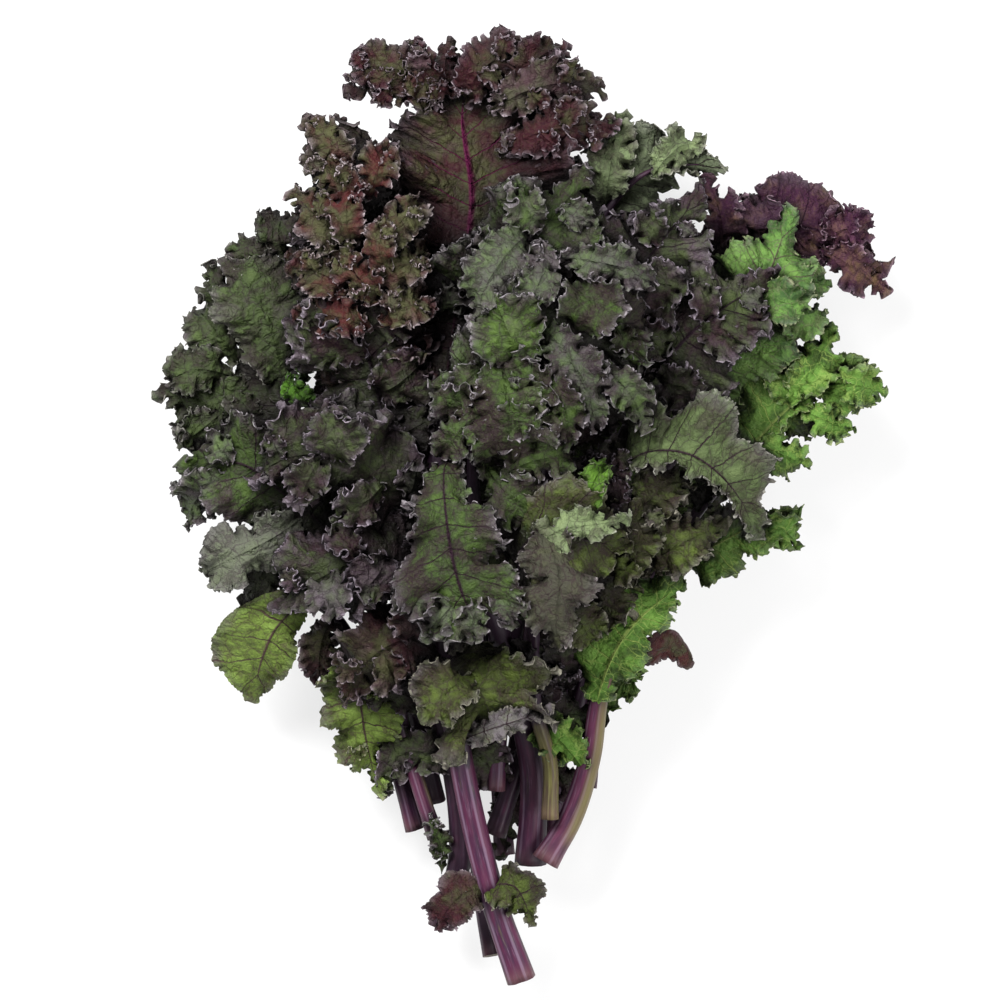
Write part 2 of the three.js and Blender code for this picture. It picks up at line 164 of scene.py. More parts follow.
# A lobe: the leaf whose stalk it leaves, the share of that stalk's curve where it does, and its
# own midrib as steps from that point. ribs gives it the side veins and the midrib of a leaf.
LOBES = {
    "red_top": dict(USUAL, of="frill_left", at=0.67,
        steps=[(-6, 45, 0), (-12, 92, -8), (-15, 139, -18)], width=33, widest=0.6, finish="red",
        grow=1.45),
    "shoulder": dict(USUAL, of="crown", at=0.7, steps=[(18, 18, 24), (38, 40, 28), (56, 62, 18)],
        width=30, cup=-0.4, finish="green"),
    "olive_left": dict(USUAL, of="smooth_left", at=0.86,
        steps=[(-5, 22, 8), (-13, 40, 8), (-24, 52, 2)], width=21, widest=0.6, cup=-0.2,
        finish="green", tint="dull", crowd=0.0, grow=0.35, frill=0.5, depth=0.2),
    "far_left": dict(USUAL, of="smooth_left", at=0.8,
        steps=[(-24, 2, -6), (-42, 10, -6), (-60, 16, -13)], width=21, widest=0.6, cup=-0.4,
        finish="dark", tint="dull"),
    "pale_left": dict(USUAL, of="low_left", at=0.7,
        steps=[(-16, -11, 6), (-34, -20, 2), (-48, -27, -10)], width=16, widest=0.6, cup=0.3,
        face=DOWN, finish="pale", tint="lilac", crowd=0.0, grow=0.8, frill=1.3, teeth=0.6),
    "reach_left": dict(USUAL, of="crown", at=0.5,
        steps=[(-22, 14, 22), (-44, 25, 26), (-62, 24, 20), (-77, 15, 10)], width=27, widest=0.55,
        cup=-0.5, finish="dark"),
    "mid_left": dict(USUAL, of="crown", at=0.42, steps=[(-24, 16, 24), (-46, 8, 22), (-68, -5, 8)],
        width=25, widest=0.55, cup=-0.4, finish="dark"),
    "curl_left": dict(USUAL, of="crown", at=0.35,
        steps=[(-18, 8, 20), (-32, 0, 18), (-42, -16, 4)], width=21, widest=0.55, cup=-0.4,
        finish="red", tint="crown"),
    "apron": dict(USUAL, of="crown", at=0.35, steps=[(8, -1, 22), (16, -16, 30), (20, -30, 24)],
        width=36, widest=0.75, cup=-0.35, face=(0, -0.3, 1), finish="green", tint="olive",
        crowd=0.3, grow=0.9, frill=1.2, depth=0.4, lobes=4.2),
    "fold_right": dict(USUAL, of="saddle", at=0.6, steps=[(12, 16, 14), (28, 22, 17), (44, 18, 6)],
        width=22, cup=-0.4, finish="green"),
    "wedge": dict(USUAL, of="sweep", at=0.78, steps=[(6, -20, 9), (5, -36, 4), (6, -50, -9)],
        width=16, widest=0.45, cup=0.35, face=DOWN, finish="pale", tint="mauve", crowd=0.0,
        grow=0.5),
    "ribbon": dict(USUAL, of="sweep", at=0.68, steps=[(16, 12, 14), (30, 14, 12), (44, 16, 2)],
        width=9, finish="bright", tint="pale", crowd=0.0, grow=0.7),
    "olive_right": dict(USUAL, of="veined", at=0.34,
        steps=[(12, 24, 26), (30, 52, 34), (50, 70, 26)], width=20, cup=-0.4, finish="green",
        tint="olive"),
    "bright_low": dict(USUAL, of="far_green", at=0.42,
        steps=[(22, 10, 14), (42, 20, 18), (58, 24, 10)], width=19, widest=0.55, finish="bright",
        crowd=0.0, grow=0.6, sides=(0.7, 0.85), ribs=True),
    "brown_tip": dict(USUAL, of="low_right", at=0.7,
        steps=[(11, -1, -6), (22, 2, -16), (30, -4, -24)], width=9, widest=0.65, finish="red",
        crowd=0.0, grow=0.1, frill=0.1, teeth=0.1, depth=0.03, blunt=0.5),
    "yellow_curl": dict(USUAL, of="far_green", at=0.13,
        steps=[(8, 8, 6), (14, 18, 8), (22, 30, 6)], width=8, widest=0.55, finish="bright"),
    "leaflet_left": dict(USUAL, of="crown", at=0.1,
        steps=[(-10, 0, 7), (-17, -6, 8), (-23, -16, 0)], width=11, cup=-0.2, finish="red",
        tint="crown", crowd=0, grow=0.5, frill=0.7),
    "leaflet_right": dict(USUAL, of="crown", at=0.1,
        steps=[(5, 3, 9), (10, 2, 10), (14, -4, 7), (17, -13, -1)], width=11, cup=-0.2,
        finish="green", tint="olive", crowd=0, grow=0.5, frill=0.7, ribs=True),
    "leaflet_low": dict(USUAL, of="hanging", at=0.06,
        steps=[(2, -4, 5), (5, -12, 3), (6, -22, -4)], width=6, widest=0.6, cup=-0.1,
        finish="green"),
}


def small(width, *line, **traits):
    """A small lobe, whose line runs from its foot to its tip."""
    return dict(USUAL, width=width, line=line, **traits)


# Lobes that only show here, on a leaf's own blade or low on its stalk.
SMALL_LOBES = {
    "crown": (
        small(11, (-30, 172, 62), (-33, 180, 70), (-33, 186, 68), (-31, 191, 60)),
        small(11, (-6, 172, 64), (1, 182, 73), (8, 189, 71), (16, 193, 62)),
        small(13, (-30, 172, 66), (-44, 180, 76), (-60, 184, 74), (-74, 183, 62)),
        small(8, (-36, 176, 68), (-42, 184, 76), (-46, 189, 72), (-48, 194, 62)),
        small(9, (-34, 166, 66), (-46, 173, 74), (-60, 176, 72), (-71, 174, 60)),
        small(14, (-24, 168, 64), (-20, 180, 74), (-10, 188, 72), (2, 190, 62)),
        small(14, (-14, 166, 66), (2, 174, 78), (16, 177, 74), (31, 173, 60), lilac=0.2),
        small(13, (-10, 148, 66), (6, 156, 78), (22, 159, 76), (37, 160, 62)),
    ),
    "red_top": (
        small(12, (-72, 104, 82), (-80, 114, 92), (-88, 122, 90), (-95, 130, 80)),
        small(11, (-70, 122, 82), (-76, 134, 92), (-83, 144, 88), (-89, 153, 74)),
        small(9, (-72, 138, 80), (-78, 149, 88), (-84, 156, 86), (-91, 161, 78)),
        small(10, (-66, 128, 84), (-62, 138, 94), (-60, 144, 90), (-57, 150, 80)),
        small(10, (-62, 106, 84), (-54, 116, 96), (-48, 122, 94), (-44, 128, 82)),
        small(11, (-66, 88, 84), (-56, 96, 94), (-48, 101, 94), (-42, 108, 84)),
        small(11, (-68, 86, 82), (-78, 94, 92), (-88, 98, 88), (-98, 98, 78)),
        small(9, (-70, 108, 88), (-74, 116, 98), (-74, 126, 98), (-70, 134, 90)),
        small(9, (-60, 84, 88), (-66, 92, 98), (-73, 99, 98), (-81, 105, 90)),
        small(8, (-56, 96, 88), (-60, 104, 100), (-60, 112, 100), (-58, 120, 92)),
        small(10, (-64, 74, 82), (-74, 78, 92), (-84, 80, 88), (-94, 80, 78)),
        small(10, (-60, 76, 84), (-52, 82, 94), (-46, 84, 92), (-40, 90, 82)),
    ),
    "olive_left": (
        small(10, (-106, 96, 44), (-111, 103, 52), (-116, 106, 52), (-122, 108, 46)),
        small(11, (-100, 104, 50), (-103, 111, 57), (-103, 117, 55), (-101, 123, 48)),
    ),
    "far_left": (
        small(13, (-119, 60, 38), (-126, 68, 46), (-132, 76, 46), (-137, 83, 38)),
        small(12, (-122, 54, 38), (-132, 57, 46), (-140, 57, 46), (-149, 53, 40)),
        small(10, (-120, 78, 36), (-125, 86, 44), (-129, 92, 44), (-132, 99, 38)),
    ),
    "mid_left": (
        small(6, (-93, 50, 50), (-92, 58, 58), (-92, 66, 60), (-94, 76, 52), lilac=-1.0),
        small(6, (-88, 38, 52), (-92, 44, 60), (-96, 48, 60), (-97, 55, 52), lilac=-1.0),
    ),
    "olive_right": (
        small(12, (42, -10, 68), (52, 2, 78), (60, 8, 80), (70, 10, 72)),
        small(13, (48, -28, 60), (60, -20, 72), (70, -14, 74), (82, -10, 64)),
        small(11, (34, -26, 62), (44, -18, 74), (54, -18, 74), (64, -22, 62)),
    ),
    "sweep": (
        small(11, (12, -32, 84), (19, -40, 88), (24, -49, 84), (29, -58, 72), grow=0.7),
        small(7, (22, -6, 92), (27, 4, 102), (30, 12, 102), (36, 18, 92), lilac=-0.6),
    ),
    "apron": (
        small(7, (-30, -101, 80), (-20, -96, 91), (-6, -91, 93), (10, -86, 84), lilac=1.0,
              ribs=True, grow=0.7),
    ),
    "low_left": (
        small(13, (-120, 14, 60), (-130, 8, 66), (-137, 3, 60), (-141, -5, 50), lilac=0.3),
    ),
    "pale_left": (
        small(12, (-98, -14, 58), (-106, -22, 62), (-112, -32, 56), (-118, -40, 48)),
    ),
    "curl_left": (
        small(10, (-78, -44, 64), (-84, -54, 62), (-86, -64, 54), (-86, -74, 46)),
    ),
    "pale_top": (
        small(10, (54, 138, 56), (60, 146, 62), (66, 151, 58), (74, 152, 50)),
        small(12, (34, 126, 54), (36, 140, 64), (38, 152, 60), (42, 162, 52)),
    ),
    "far_purple": (
        small(11, (84, 104, 38), (84, 116, 48), (82, 126, 48), (78, 134, 42)),
        small(9, (126, 112, 38), (134, 116, 44), (140, 117, 42), (146, 115, 34)),
        small(11, (126, 108, 38), (136, 102, 44), (143, 97, 40), (150, 92, 32)),
    ),
    "far_green": (
        small(9, (117, 40, 50), (124, 37, 56), (130, 34, 52), (136, 32, 44)),
        small(12, (112, 44, 52), (120, 55, 60), (125, 64, 56), (128, 72, 48)),
        small(10, (126, 50, 52), (138, 51, 60), (145, 49, 54), (150, 46, 44)),
        small(8, (108, 44, 46), (112, 38, 50), (115, 34, 48), (118, 29, 40)),
    ),
    "bright_low": (
        small(9, (96, -8, 42), (104, -9, 47), (110, -11, 44), (115, -16, 36)),
    ),
    "bright_up": (
        small(12, (100, 84, 60), (110, 82, 66), (118, 80, 62), (124, 82, 52)),
        small(8, (110, 96, 56), (116, 96, 62), (121, 94, 58), (127, 93, 50)),
    ),
    "saddle": (
        small(21, (-10, 62, 112), (-8, 46, 124), (-6, 30, 118), (-4, 14, 98), grow=0.6, frill=0.9,
              crowd=0),
        small(9, (-14, 60, 112), (-24, 52, 120), (-30, 44, 116), (-36, 38, 104)),
        small(9, (-14, 40, 112), (-24, 34, 120), (-30, 27, 116), (-36, 20, 104)),
        small(12, (4, 78, 112), (16, 66, 122), (26, 50, 120), (30, 32, 108), lilac=0.35),
        small(9, (8, 60, 116), (14, 48, 124), (18, 38, 120), (18, 26, 108)),
        small(10, (30, 60, 110), (40, 52, 118), (46, 44, 114), (50, 34, 100), lilac=0.25),
        small(15, (2, 114, 100), (-6, 106, 116), (-14, 95, 122), (-20, 82, 118), lilac=0.45,
              grow=0.9, crowd=0),
        small(10, (6, 110, 104), (8, 100, 118), (4, 88, 124), (-4, 78, 120), lilac=0.4),
        small(10, (14, 104, 108), (28, 102, 118), (42, 99, 116), (54, 92, 104), lilac=0.45),
        small(14, (-18, 20, 98), (-8, 6, 104), (6, -2, 100), (18, -6, 88)),
        small(14, (-20, -16, 72), (-10, -10, 84), (4, -12, 84), (14, -20, 76)),
        small(10, (-10, 12, 100), (2, 18, 108), (12, 20, 106), (22, 18, 94)),
    ),
    "back_middle": (
        small(15, (-3, -80, 8), (2, -70, 15), (8, -60, 17), (14, -50, 10), crowd=0),
        small(15, (-3, -84, 8), (-12, -74, 15), (-22, -66, 17), (-34, -60, 10), crowd=0),
        small(13, (0, -90, 8), (10, -84, 15), (20, -76, 15), (30, -66, 8), crowd=0),
        small(9, (1, -108, 8), (-3, -120, 12), (-7, -132, 12), (-10, -146, 8), crowd=0),
        small(7, (6, -104, 6), (14, -112, 10), (18, -120, 10), (20, -128, 6), crowd=0),
    ),
    "back_left": (
        small(13, (-20, -84, 8), (-34, -86, 16), (-46, -90, 18), (-57, -98, 12), crowd=0),
        small(14, (-24, -70, 8), (-38, -72, 18), (-50, -76, 20), (-62, -82, 14), crowd=0),
    ),
    "dark_low": (
        small(11, (14, -80, 40), (8, -72, 62), (0, -64, 74), (-9, -58, 70)),
        small(10, (15, -80, 40), (16, -68, 62), (14, -58, 72), (10, -48, 68)),
        small(10, (12, -86, 40), (4, -80, 60), (-5, -76, 68), (-14, -72, 62)),
        small(13, (28, -12, 66), (32, 6, 80), (36, 18, 86), (44, 28, 78)),
        small(12, (24, -32, 56), (28, -18, 72), (30, -6, 80), (38, 4, 76)),
        small(12, (34, 30, 70), (36, 42, 84), (44, 50, 86), (54, 52, 78)),
        small(14, (20, -20, 48), (26, -6, 66), (34, 2, 72), (42, 2, 64)),
        small(13, (18, -48, 38), (22, -40, 56), (20, -30, 66), (12, -22, 62)),
    ),
    "veined": (
        small(14, (26, -36, 58), (22, -22, 72), (26, -8, 80), (36, 0, 74)),
        small(13, (16, -60, 44), (26, -56, 60), (38, -50, 66), (48, -48, 58)),
    ),
    "low_right": (
        small(11, (26, -112, 46), (20, -104, 54), (12, -96, 54), (2, -96, 46)),
    ),
    "droop": (
        small(9, (-34, -30, 110), (-40, -36, 118), (-46, -40, 118), (-52, -42, 108), lilac=0.3,
              grow=1.3),
        small(8, (-28, -38, 110), (-32, -44, 117), (-37, -49, 114), (-40, -53, 104), lilac=0.45,
              grow=1.3),
        small(8, (-20, -38, 110), (-20, -44, 116), (-22, -50, 114), (-24, -55, 104), lilac=0.3,
              grow=1.3),
        small(8, (-12, -34, 108), (-8, -39, 114), (-5, -44, 112), (-2, -48, 102), lilac=0.3,
              grow=1.3),
        small(13, (2, -100, 38), (10, -92, 50), (20, -88, 52), (30, -90, 44)),
    ),
    "frill_left": (
        small(12, (-40, -78, 40), (-46, -68, 50), (-52, -60, 52), (-60, -54, 46)),
        small(11, (-42, -84, 40), (-50, -80, 52), (-60, -76, 54), (-70, -74, 46)),
        small(12, (-30, -110, 32), (-40, -104, 42), (-50, -104, 42), (-58, -112, 32)),
        small(8, (-46, -94, 32), (-53, -104, 40), (-56, -113, 36), (-59, -121, 26)),
        small(12, (-34, -98, 34), (-24, -102, 46), (-16, -108, 44), (-8, -116, 34)),
    ),
}

BLUSHED = ("low_right", "hanging")  # stalks with a green outer side
TOPPED = ("crown", "red_top", "dark_low")  # leaves whose placed lobes carry lobes of their own

# Each group's words and its blades, in the order in which they are built.
GROUPS = {
    "crown": ("the long front leaf and its upper lobes", ("crown", "red_top", "shoulder")),
    "left": ("the leaves on the left", (
        "frill_left", "smooth_left", "olive_left", "far_left", "low_left", "pale_left",
        "reach_left", "mid_left", "curl_left", "fan", "hanging")),
    "middle": ("the leaves folded over the middle", (
        "droop", "sweep", "apron", "saddle", "fold_right", "wedge", "ribbon")),
    "right": ("the dark and veined leaves on the right", (
        "veined", "dark_right", "dark_low", "pale_top", "olive_right", "low_right", "brown_tip",
        "yellow_curl")),
    "far_right": ("the bright and purple leaves on the far right", (
        "bright_up", "far_green", "bright_low", "far_purple")),
    "back": ("the leaves that lie on the surface", ("back_left", "back_middle", "back_right")),
    "leaflets": ("the small leaves low on the stalks", (
        "leaflet_left", "leaflet_right", "leaflet_low")),
}

STALK_ENDS_AT = 0.93  # the share of the curve where the solid stalk ends
STALK_COLUMNS = 28
TIP_RADIUS_SHARE = 0.3
CUT_RINGS = ((0.82, 0.25), (0.45, 0.7))  # share of the radius, and how far sunk
CUT_DEPTH = 0.8
STEADY = 0.6  # how much a blade keeps to the direction of its middle
FLOOR_CLEARANCE = 0.3
SHEET_CLEARANCE = FLOOR_CLEARANCE + 0.3


# ---- Curves with a frame -----------------------------------------------------------------
def unit(vectors):
    return vectors / np.maximum(np.linalg.norm(vectors, axis=-1, keepdims=True), 1e-9)


def smoothstep(low, high, value):
    """0 up to low and 1 from high on, eased in between; low may be the larger."""
    share = np.clip((value - low) / (high - low), 0.0, 1.0)
    return share * share * (3 - 2 * share)


def run_along(line):
    """The length of a line up to each of its points."""
    return np.r_[0, np.cumsum(np.linalg.norm(np.diff(line, axis=0), axis=1))]


class Spine:
    """A smooth curve, and the way a blade's upper side looks along it."""

    SAMPLES = 241

    def __init__(self, points, face):
        points = np.array(points, float)
        ends = np.vstack([2 * points[0] - points[1], points, 2 * points[-1] - points[-2]])
        pieces = []
        w = np.linspace(0, 1, 48, endpoint=False)[:, None]
        for p0, p1, p2, p3 in zip(ends, ends[1:], ends[2:], ends[3:]):
            d0, d1, d2 = (np.linalg.norm(b - a) ** 0.5 for a, b in ((p0, p1), (p1, p2), (p2, p3)))
            m1 = ((p1 - p0) / d0 - (p2 - p0) / (d0 + d1) + (p2 - p1) / d1) * d1
            m2 = ((p2 - p1) / d1 - (p3 - p1) / (d1 + d2) + (p3 - p2) / d2) * d1
            pieces.append((2 * w**3 - 3 * w**2 + 1) * p1 + (w**3 - 2 * w**2 + w) * m1
                          + (3 * w**2 - 2 * w**3) * p2 + (w**3 - w**2) * m2)
        line = np.vstack(pieces + [points[-1:]])
        run = run_along(line)
        self.length = run[-1]
        self.shares = np.linspace(0, 1, self.SAMPLES)
        even = self.shares * self.length
        self.points = np.stack([np.interp(even, run, line[:, k]) for k in range(3)], 1)
        self.tangents = unit(np.gradient(self.points, axis=0))
        self.ups = np.empty_like(self.points)
        up = np.array(face, float)
        for k in range(self.SAMPLES - 1, -1, -1):
            up = unit(up - self.tangents[k] * (up @ self.tangents[k]))
            self.ups[k] = up
        self.sides = np.cross(self.tangents, self.ups)

    def at(self, shares):
        """Points, tangents, ups and sides at these shares of the length."""
        def read(values):
            return np.stack([np.interp(shares, self.shares, values[:, k]) for k in range(3)], -1)
        return (read(self.points), unit(read(self.tangents)), unit(read(self.ups)),
                unit(read(self.sides)))


def stalk_radius(leaf, share):
    taper = 1 + (TIP_RADIUS_SHARE - 1) * np.asarray(share, float) ** 1.4
    return leaf["radius"] * taper * (1 + 0.12 * np.maximum(0, 1 - np.asarray(share) / 0.06))


def smooth_noise(run, spacing, random):
    """A smooth random value, from -1 to 1, along a run of lengths."""
    knots = int(run[-1] / spacing) + 4
    values = random.uniform(-1, 1, knots)
    place = run / spacing + random.uniform(0, 1)
    k = np.floor(place).astype(int)
    w = place - k
    w = w * w * (3 - 2 * w)
    return values[k] * (1 - w) + values[k + 1] * w


# ---- Frilled blades ----------------------------------------------------------------------
# A sheet's rows, from the midrib out: where they lie, and how many columns apart their points are.
BLADE_ROWS = (np.array([0, 0.14, 0.28, 0.42, 0.54, 0.65, 0.74, 0.82, 0.88, 0.93, 0.97, 1]),
              (8, 8, 8, 4, 4, 4, 2, 2, 2, 2, 2, 1))
LOBE_ROWS = (np.array([0, 0.24, 0.44, 0.61, 0.75, 0.86, 0.945, 1]), (8, 8, 4, 4, 2, 2, 2, 1))

# The teeth of a margin, and the notches cut into it when it has grown: spacing, height, sharpness.
TEETH = ((12.0, 4.4, 0.8), (5.2, 2.6, 0.9))
LOBE_TEETH = ((7.5, 3.4, 0.8), (3.6, 1.8, 0.9))
NOTCHES = ((3.4, 1.3, 0.9), (1.7, 0.9, 1.0))

# The first waves of a blade: wave length, height, reach where they start, how far they overhang.
FRILLS = ((46.0, 10.0, 0.1, 0.5), (17.0, 6.5, 0.22, 0.9), (9.0, 2.6, 0.4, 0.9),
          (5.5, 1.8, 0.6, 0.9))

# How its margin grows: rounds, and in each the share of the speed kept and of the push added.
GROWTH_ROUNDS, GROWTH_KEEPS, GROWTH_ADDS = 260, 0.86, 0.35
SHORTEST_LINK = 0.03

RIB_ANGLE = 102  # degrees between the midrib and the ribs at a blade's foot
OUTLINE_SAMPLES = 4001
FEWEST_COLUMNS, MOST_COLUMNS = 120, 1600
MARGIN_THINNER = 0.45  # by this share of the thickness at the midrib
SIDE_LOBE_SPACING = 30
MOST_SIDE_LOBES = 7  # on either side of a midrib
MIDRIB_COLUMNS = 6

# How much bloom the side lobes of these finishes may have.
BLOOMY = {"dark": 1.0, "green": 0.8, "red": 0.5, "purple": 0.4}


def blade_outline(share, widest):
    return 0.12 + 0.88 * np.sin(np.pi * share ** (math.log(0.5) / math.log(widest))) ** 0.75


def margin_reach(blade, share, side, run, random):
    """Length of the ribs, from the midrib to the margin, and the teeth on top of it."""
    body = blade["width"] * blade_outline(np.clip(share, 0, 1), blade["widest"])
    tip = 0.12 * blade["span"] + blade["blunt"] * blade["width"]
    body = body * np.where(side < 0, *blade["sides"])
    reach = body + (tip - body) * smoothstep(0.78, 1.0, share)
    depth, shift = blade["depth"], 0.2 + 0.3 * side
    waves = np.abs(np.sin(np.pi * (blade["lobes"] * share + shift))) ** 0.6
    reach = reach * (1 - depth + depth * waves * 1.12)
    size = min(1.0, (blade["width"] / 26) ** 0.7)
    kinds = LOBE_TEETH if "rows" in blade else TEETH
    return reach, size * blade["teeth"] * pointed(run, kinds, random)


def pointed(run, kinds, random):
    """The height of irregular teeth along a run of lengths."""
    teeth = np.zeros(len(run))
    for spacing, height, sharp in kinds:
        place = run / spacing + 0.9 * smooth_noise(run, 2.6 * spacing, random)
        tooth = (1 - np.abs(2 * (place - np.floor(place)) - 1)) ** sharp
        teeth += height * (tooth - 0.4) * (0.75 + 0.45 * smooth_noise(run, 1.7 * spacing, random))
    return teeth


def bite(points, teeth, random):
    """Cuts the notches of a grown margin, and says where its tips are."""
    run = run_along(points[:, -1])
    outwards = unit(points[:, -1] - points[:, -2])
    height = teeth * pointed(run, NOTCHES, random)
    points[:, -1] += outwards * height[:, None]
    points[:, -2] += outwards * (0.35 * height)[:, None]
    points[..., 2] = np.maximum(points[..., 2], SHEET_CLEARANCE)
    tips = np.zeros(points.shape[:2])
    tips[:, -1] = np.clip(height + 0.2, 0, 1)
    tips[:, -2] = np.clip(0.6 * height - 0.1, 0, 1)
    return points, tips


def flat_blade(blade, across_shares, columns):
    """The blade before it is frilled: points and their pattern coordinates, by column and row."""
    def ribs(m, run):
        share = 1 - np.abs(m)
        side = np.sign(m + 1e-9)
        start = 0.9 * share
        angle = np.radians(RIB_ANGLE) * (1 - share) ** 0.45
        reach, teeth = margin_reach(blade, share, side, run,
                                    np.random.default_rng(blade["seed"]))
        return share, side, start, angle, reach, teeth

    dense = np.linspace(-1, 1, OUTLINE_SAMPLES)
    _, side, start, angle, reach, _ = ribs(dense, (dense + 1) * blade["span"])
    x = side * np.sin(angle) * reach
    y = start * blade["span"] + np.cos(angle) * reach
    step = np.hypot(np.diff(x), np.diff(y))
    step = np.minimum(step, 3 * np.median(step))
    run = np.r_[0, np.cumsum(step)]
    m = np.interp(np.linspace(0, run[-1], columns + 1), run, dense)
    share, side, start, angle, reach, teeth = ribs(m, (m + 1) * blade["span"])

    spine, first = blade["spine"], blade["first"]
    point, tangent, up, across = spine.at(first + (1 - first) * start)
    if "radius" in blade:
        radius = stalk_radius(blade, first + (1 - first) * start)
        point = point + up * (blade["above"] * radius)[:, None]
    middle = spine.at(np.array([first + (1 - first) * 0.5]))[3]
    across = unit(across + (middle - across) * STEADY)
    heading = np.cos(angle)[:, None] * tangent + (side * np.sin(angle))[:, None] * across
    out = (across_shares[None, :] * reach[:, None]
           + smoothstep(0.72, 1.0, across_shares)[None, :] * teeth[:, None])
    bend = blade["cup"] / blade["width"]
    points = (point[:, None] + heading[:, None] * (np.sin(bend * out) / bend)[..., None]
              + up[:, None] * ((1 - np.cos(bend * out)) / bend)[..., None])
    pattern = np.stack([side[:, None] * np.sin(angle)[:, None] * out,
                        start[:, None] * blade["span"] + np.cos(angle)[:, None] * out], -1)
    return points, pattern, share, up


def upper_normals(points, up):
    along = np.gradient(points, axis=0)
    outwards = np.gradient(points, axis=1)
    normal = np.cross(along, outwards)
    size = np.linalg.norm(normal, axis=-1, keepdims=True)
    return unit(normal + up[:, None] * (1e-3 * size.max()))


def frill(points, up, across_shares, wave, height, starts, overhang, random):
    """Throws the margin into waves, which die out towards the midrib."""
    run = run_along(points[:, -1])
    length = wave * (1 + 0.35 * smooth_noise(run, 2.2 * wave, random))
    phase = 2 * np.pi * np.cumsum(np.r_[0, np.diff(run)] / length) + random.uniform(0, 6.28)
    tall = height * (1 + 0.45 * smooth_noise(run, 1.7 * wave, random))
    fade = smoothstep(starts, 1.0, across_shares) ** 1.1
    normals = upper_normals(points, up)
    along = unit(np.gradient(points, axis=0))
    rise = (tall * np.sin(phase))[:, None] * fade[None]
    shift = (-overhang * length / (4 * np.pi) * (tall / height) * np.sin(2 * phase))[:, None]
    return points + normals * rise[..., None] + along * (shift * fade[None] ** 2)[..., None]


def ends(step_along, step_out):
    """Slices that pair each point of a grid with its neighbour so many steps away."""
    def pair(step):
        return (slice(step, None) if step >= 0 else slice(None, step),
                slice(None, -step or None) if step >= 0 else slice(-step, None))
    (a, b), (c, d) = pair(step_along), pair(step_out)
    return (a, c), (b, d)


def grow(points, pattern, reach, growth, width, random):
    """Lets a blade grow longer towards its margin, so that it buckles into ruffles."""
    base = points.copy()
    along, out = np.diff(pattern, axis=0), np.diff(pattern, axis=1)
    along_rest = np.maximum(np.linalg.norm(along, axis=-1), SHORTEST_LINK)
    out_rest = np.maximum(np.linalg.norm(out, axis=-1), SHORTEST_LINK)
    run = np.r_[0, np.cumsum(along_rest[:, -1])]
    patchy = 1 + 0.35 * smooth_noise(run, 22, random) + 0.2 * smooth_noise(run, 7, random)
    # each kind of link between two points, with its strength
    links = [(ends(1, 0), 1.0), (ends(0, 1), 1.0), (ends(1, 1), 0.35), (ends(1, -1), 0.35),
             (ends(2, 0), 0.05), (ends(0, 2), 0.25),
             (ends(4, 0), 0.14 * (1 - smoothstep(0.55, 0.9, reach)))]
    frilled = smoothstep(1 - min(0.6, 5.0 / width), 1.0, reach)
    extra = ((growth - 1) * (0.8 * reach ** 1.4 + 0.55 * frilled))[None]
    extra = extra * patchy[:, None]
    hold = (0.25 * np.maximum(0, 1 - reach / 0.45) ** 1.5)[None, :, None]
    speed = np.zeros_like(points)
    for k in range(GROWTH_ROUNDS):
        if k % 10 == 0:
            longer = 1 + extra * min(1.0, 0.35 + 0.65 * k / (0.7 * GROWTH_ROUNDS))
            steps = longer[1:, :] * 0.5 + longer[:-1, :] * 0.5
            rest = along_rest * steps
            slant = along[:, :-1] * ((steps[:, 1:] + steps[:, :-1]) / 2)[..., None]
            rests = [rest, out_rest, np.linalg.norm(slant + out[1:], axis=-1),
                     np.linalg.norm(slant - out[:-1], axis=-1),
                     rest[:-1] + rest[1:], out_rest[:, 1:] + out_rest[:, :-1],
                     rest[:-3] + rest[1:-2] + rest[2:-1] + rest[3:]]
        push = (base - points) * hold
        for ((a, b), strength), length in zip(links, rests):
            gap = points[a] - points[b]
            size = np.sqrt((gap ** 2).sum(-1)) + 1e-6
            move = gap * (0.5 * strength * (1 - length / size))[..., None]
            push[a] -= move
            push[b] += move
        speed = GROWTH_KEEPS * speed + GROWTH_ADDS * push
        speed[:, 0] = 0
        points = points + speed
        points[..., 2] = np.maximum(points[..., 2], SHEET_CLEARANCE)
    return points


def stitched_faces(columns, rows_keep):
    """The columns each row keeps, and one side's quads, triangles, rim and number of points."""
    offsets, used = [], []
    total = 0
    for coarse in rows_keep:
        picks = np.arange(0, columns + 1, coarse)
        offsets.append(total)
        used.append(picks)
        total += len(picks)
    quads, triangles = [], []
    for row in range(len(rows_keep) - 1):
        a, b = offsets[row], offsets[row + 1]
        k = np.arange(len(used[row]) - 1)
        if rows_keep[row] == rows_keep[row + 1]:
            quads.append(np.stack([a + k, a + k + 1, b + k + 1, b + k], 1))
        else:
            triangles.append(np.stack([a + k, b + 2 * k + 1, b + 2 * k], 1))
            triangles.append(np.stack([a + k, a + k + 1, b + 2 * k + 1], 1))
            triangles.append(np.stack([a + k + 1, b + 2 * k + 2, b + 2 * k + 1], 1))
    rim = np.concatenate([
        np.array(offsets),
        offsets[-1] + np.arange(1, len(used[-1])),
        (np.array(offsets) + [len(u) - 1 for u in used])[-2::-1],
        offsets[0] + np.arange(len(used[0]) - 2, 0, -1),
    ])
    return used, np.vstack(quads), np.vstack(triangles), rim, total


def tube(points, ups, sides, radii, around, profile=np.ones_like):
    """A tube that is open at its ends, as vertices and quads."""
    turn = np.arange(around) / around * 2 * np.pi
    rings = len(points)
    radius = radii[:, None] * profile(turn)
    body = (points[:, None] + sides[:, None] * (np.cos(turn) * radius)[..., None]
            + ups[:, None] * (np.sin(turn) * radius)[..., None]).reshape(-1, 3)
    r, c = np.meshgrid(np.arange(rings - 1), np.arange(around), indexing="ij")
    n = (c + 1) % around
    quads = np.stack([r * around + c, (r + 1) * around + c, (r + 1) * around + n,
                      r * around + n], -1).reshape(-1, 4)
    return body, quads


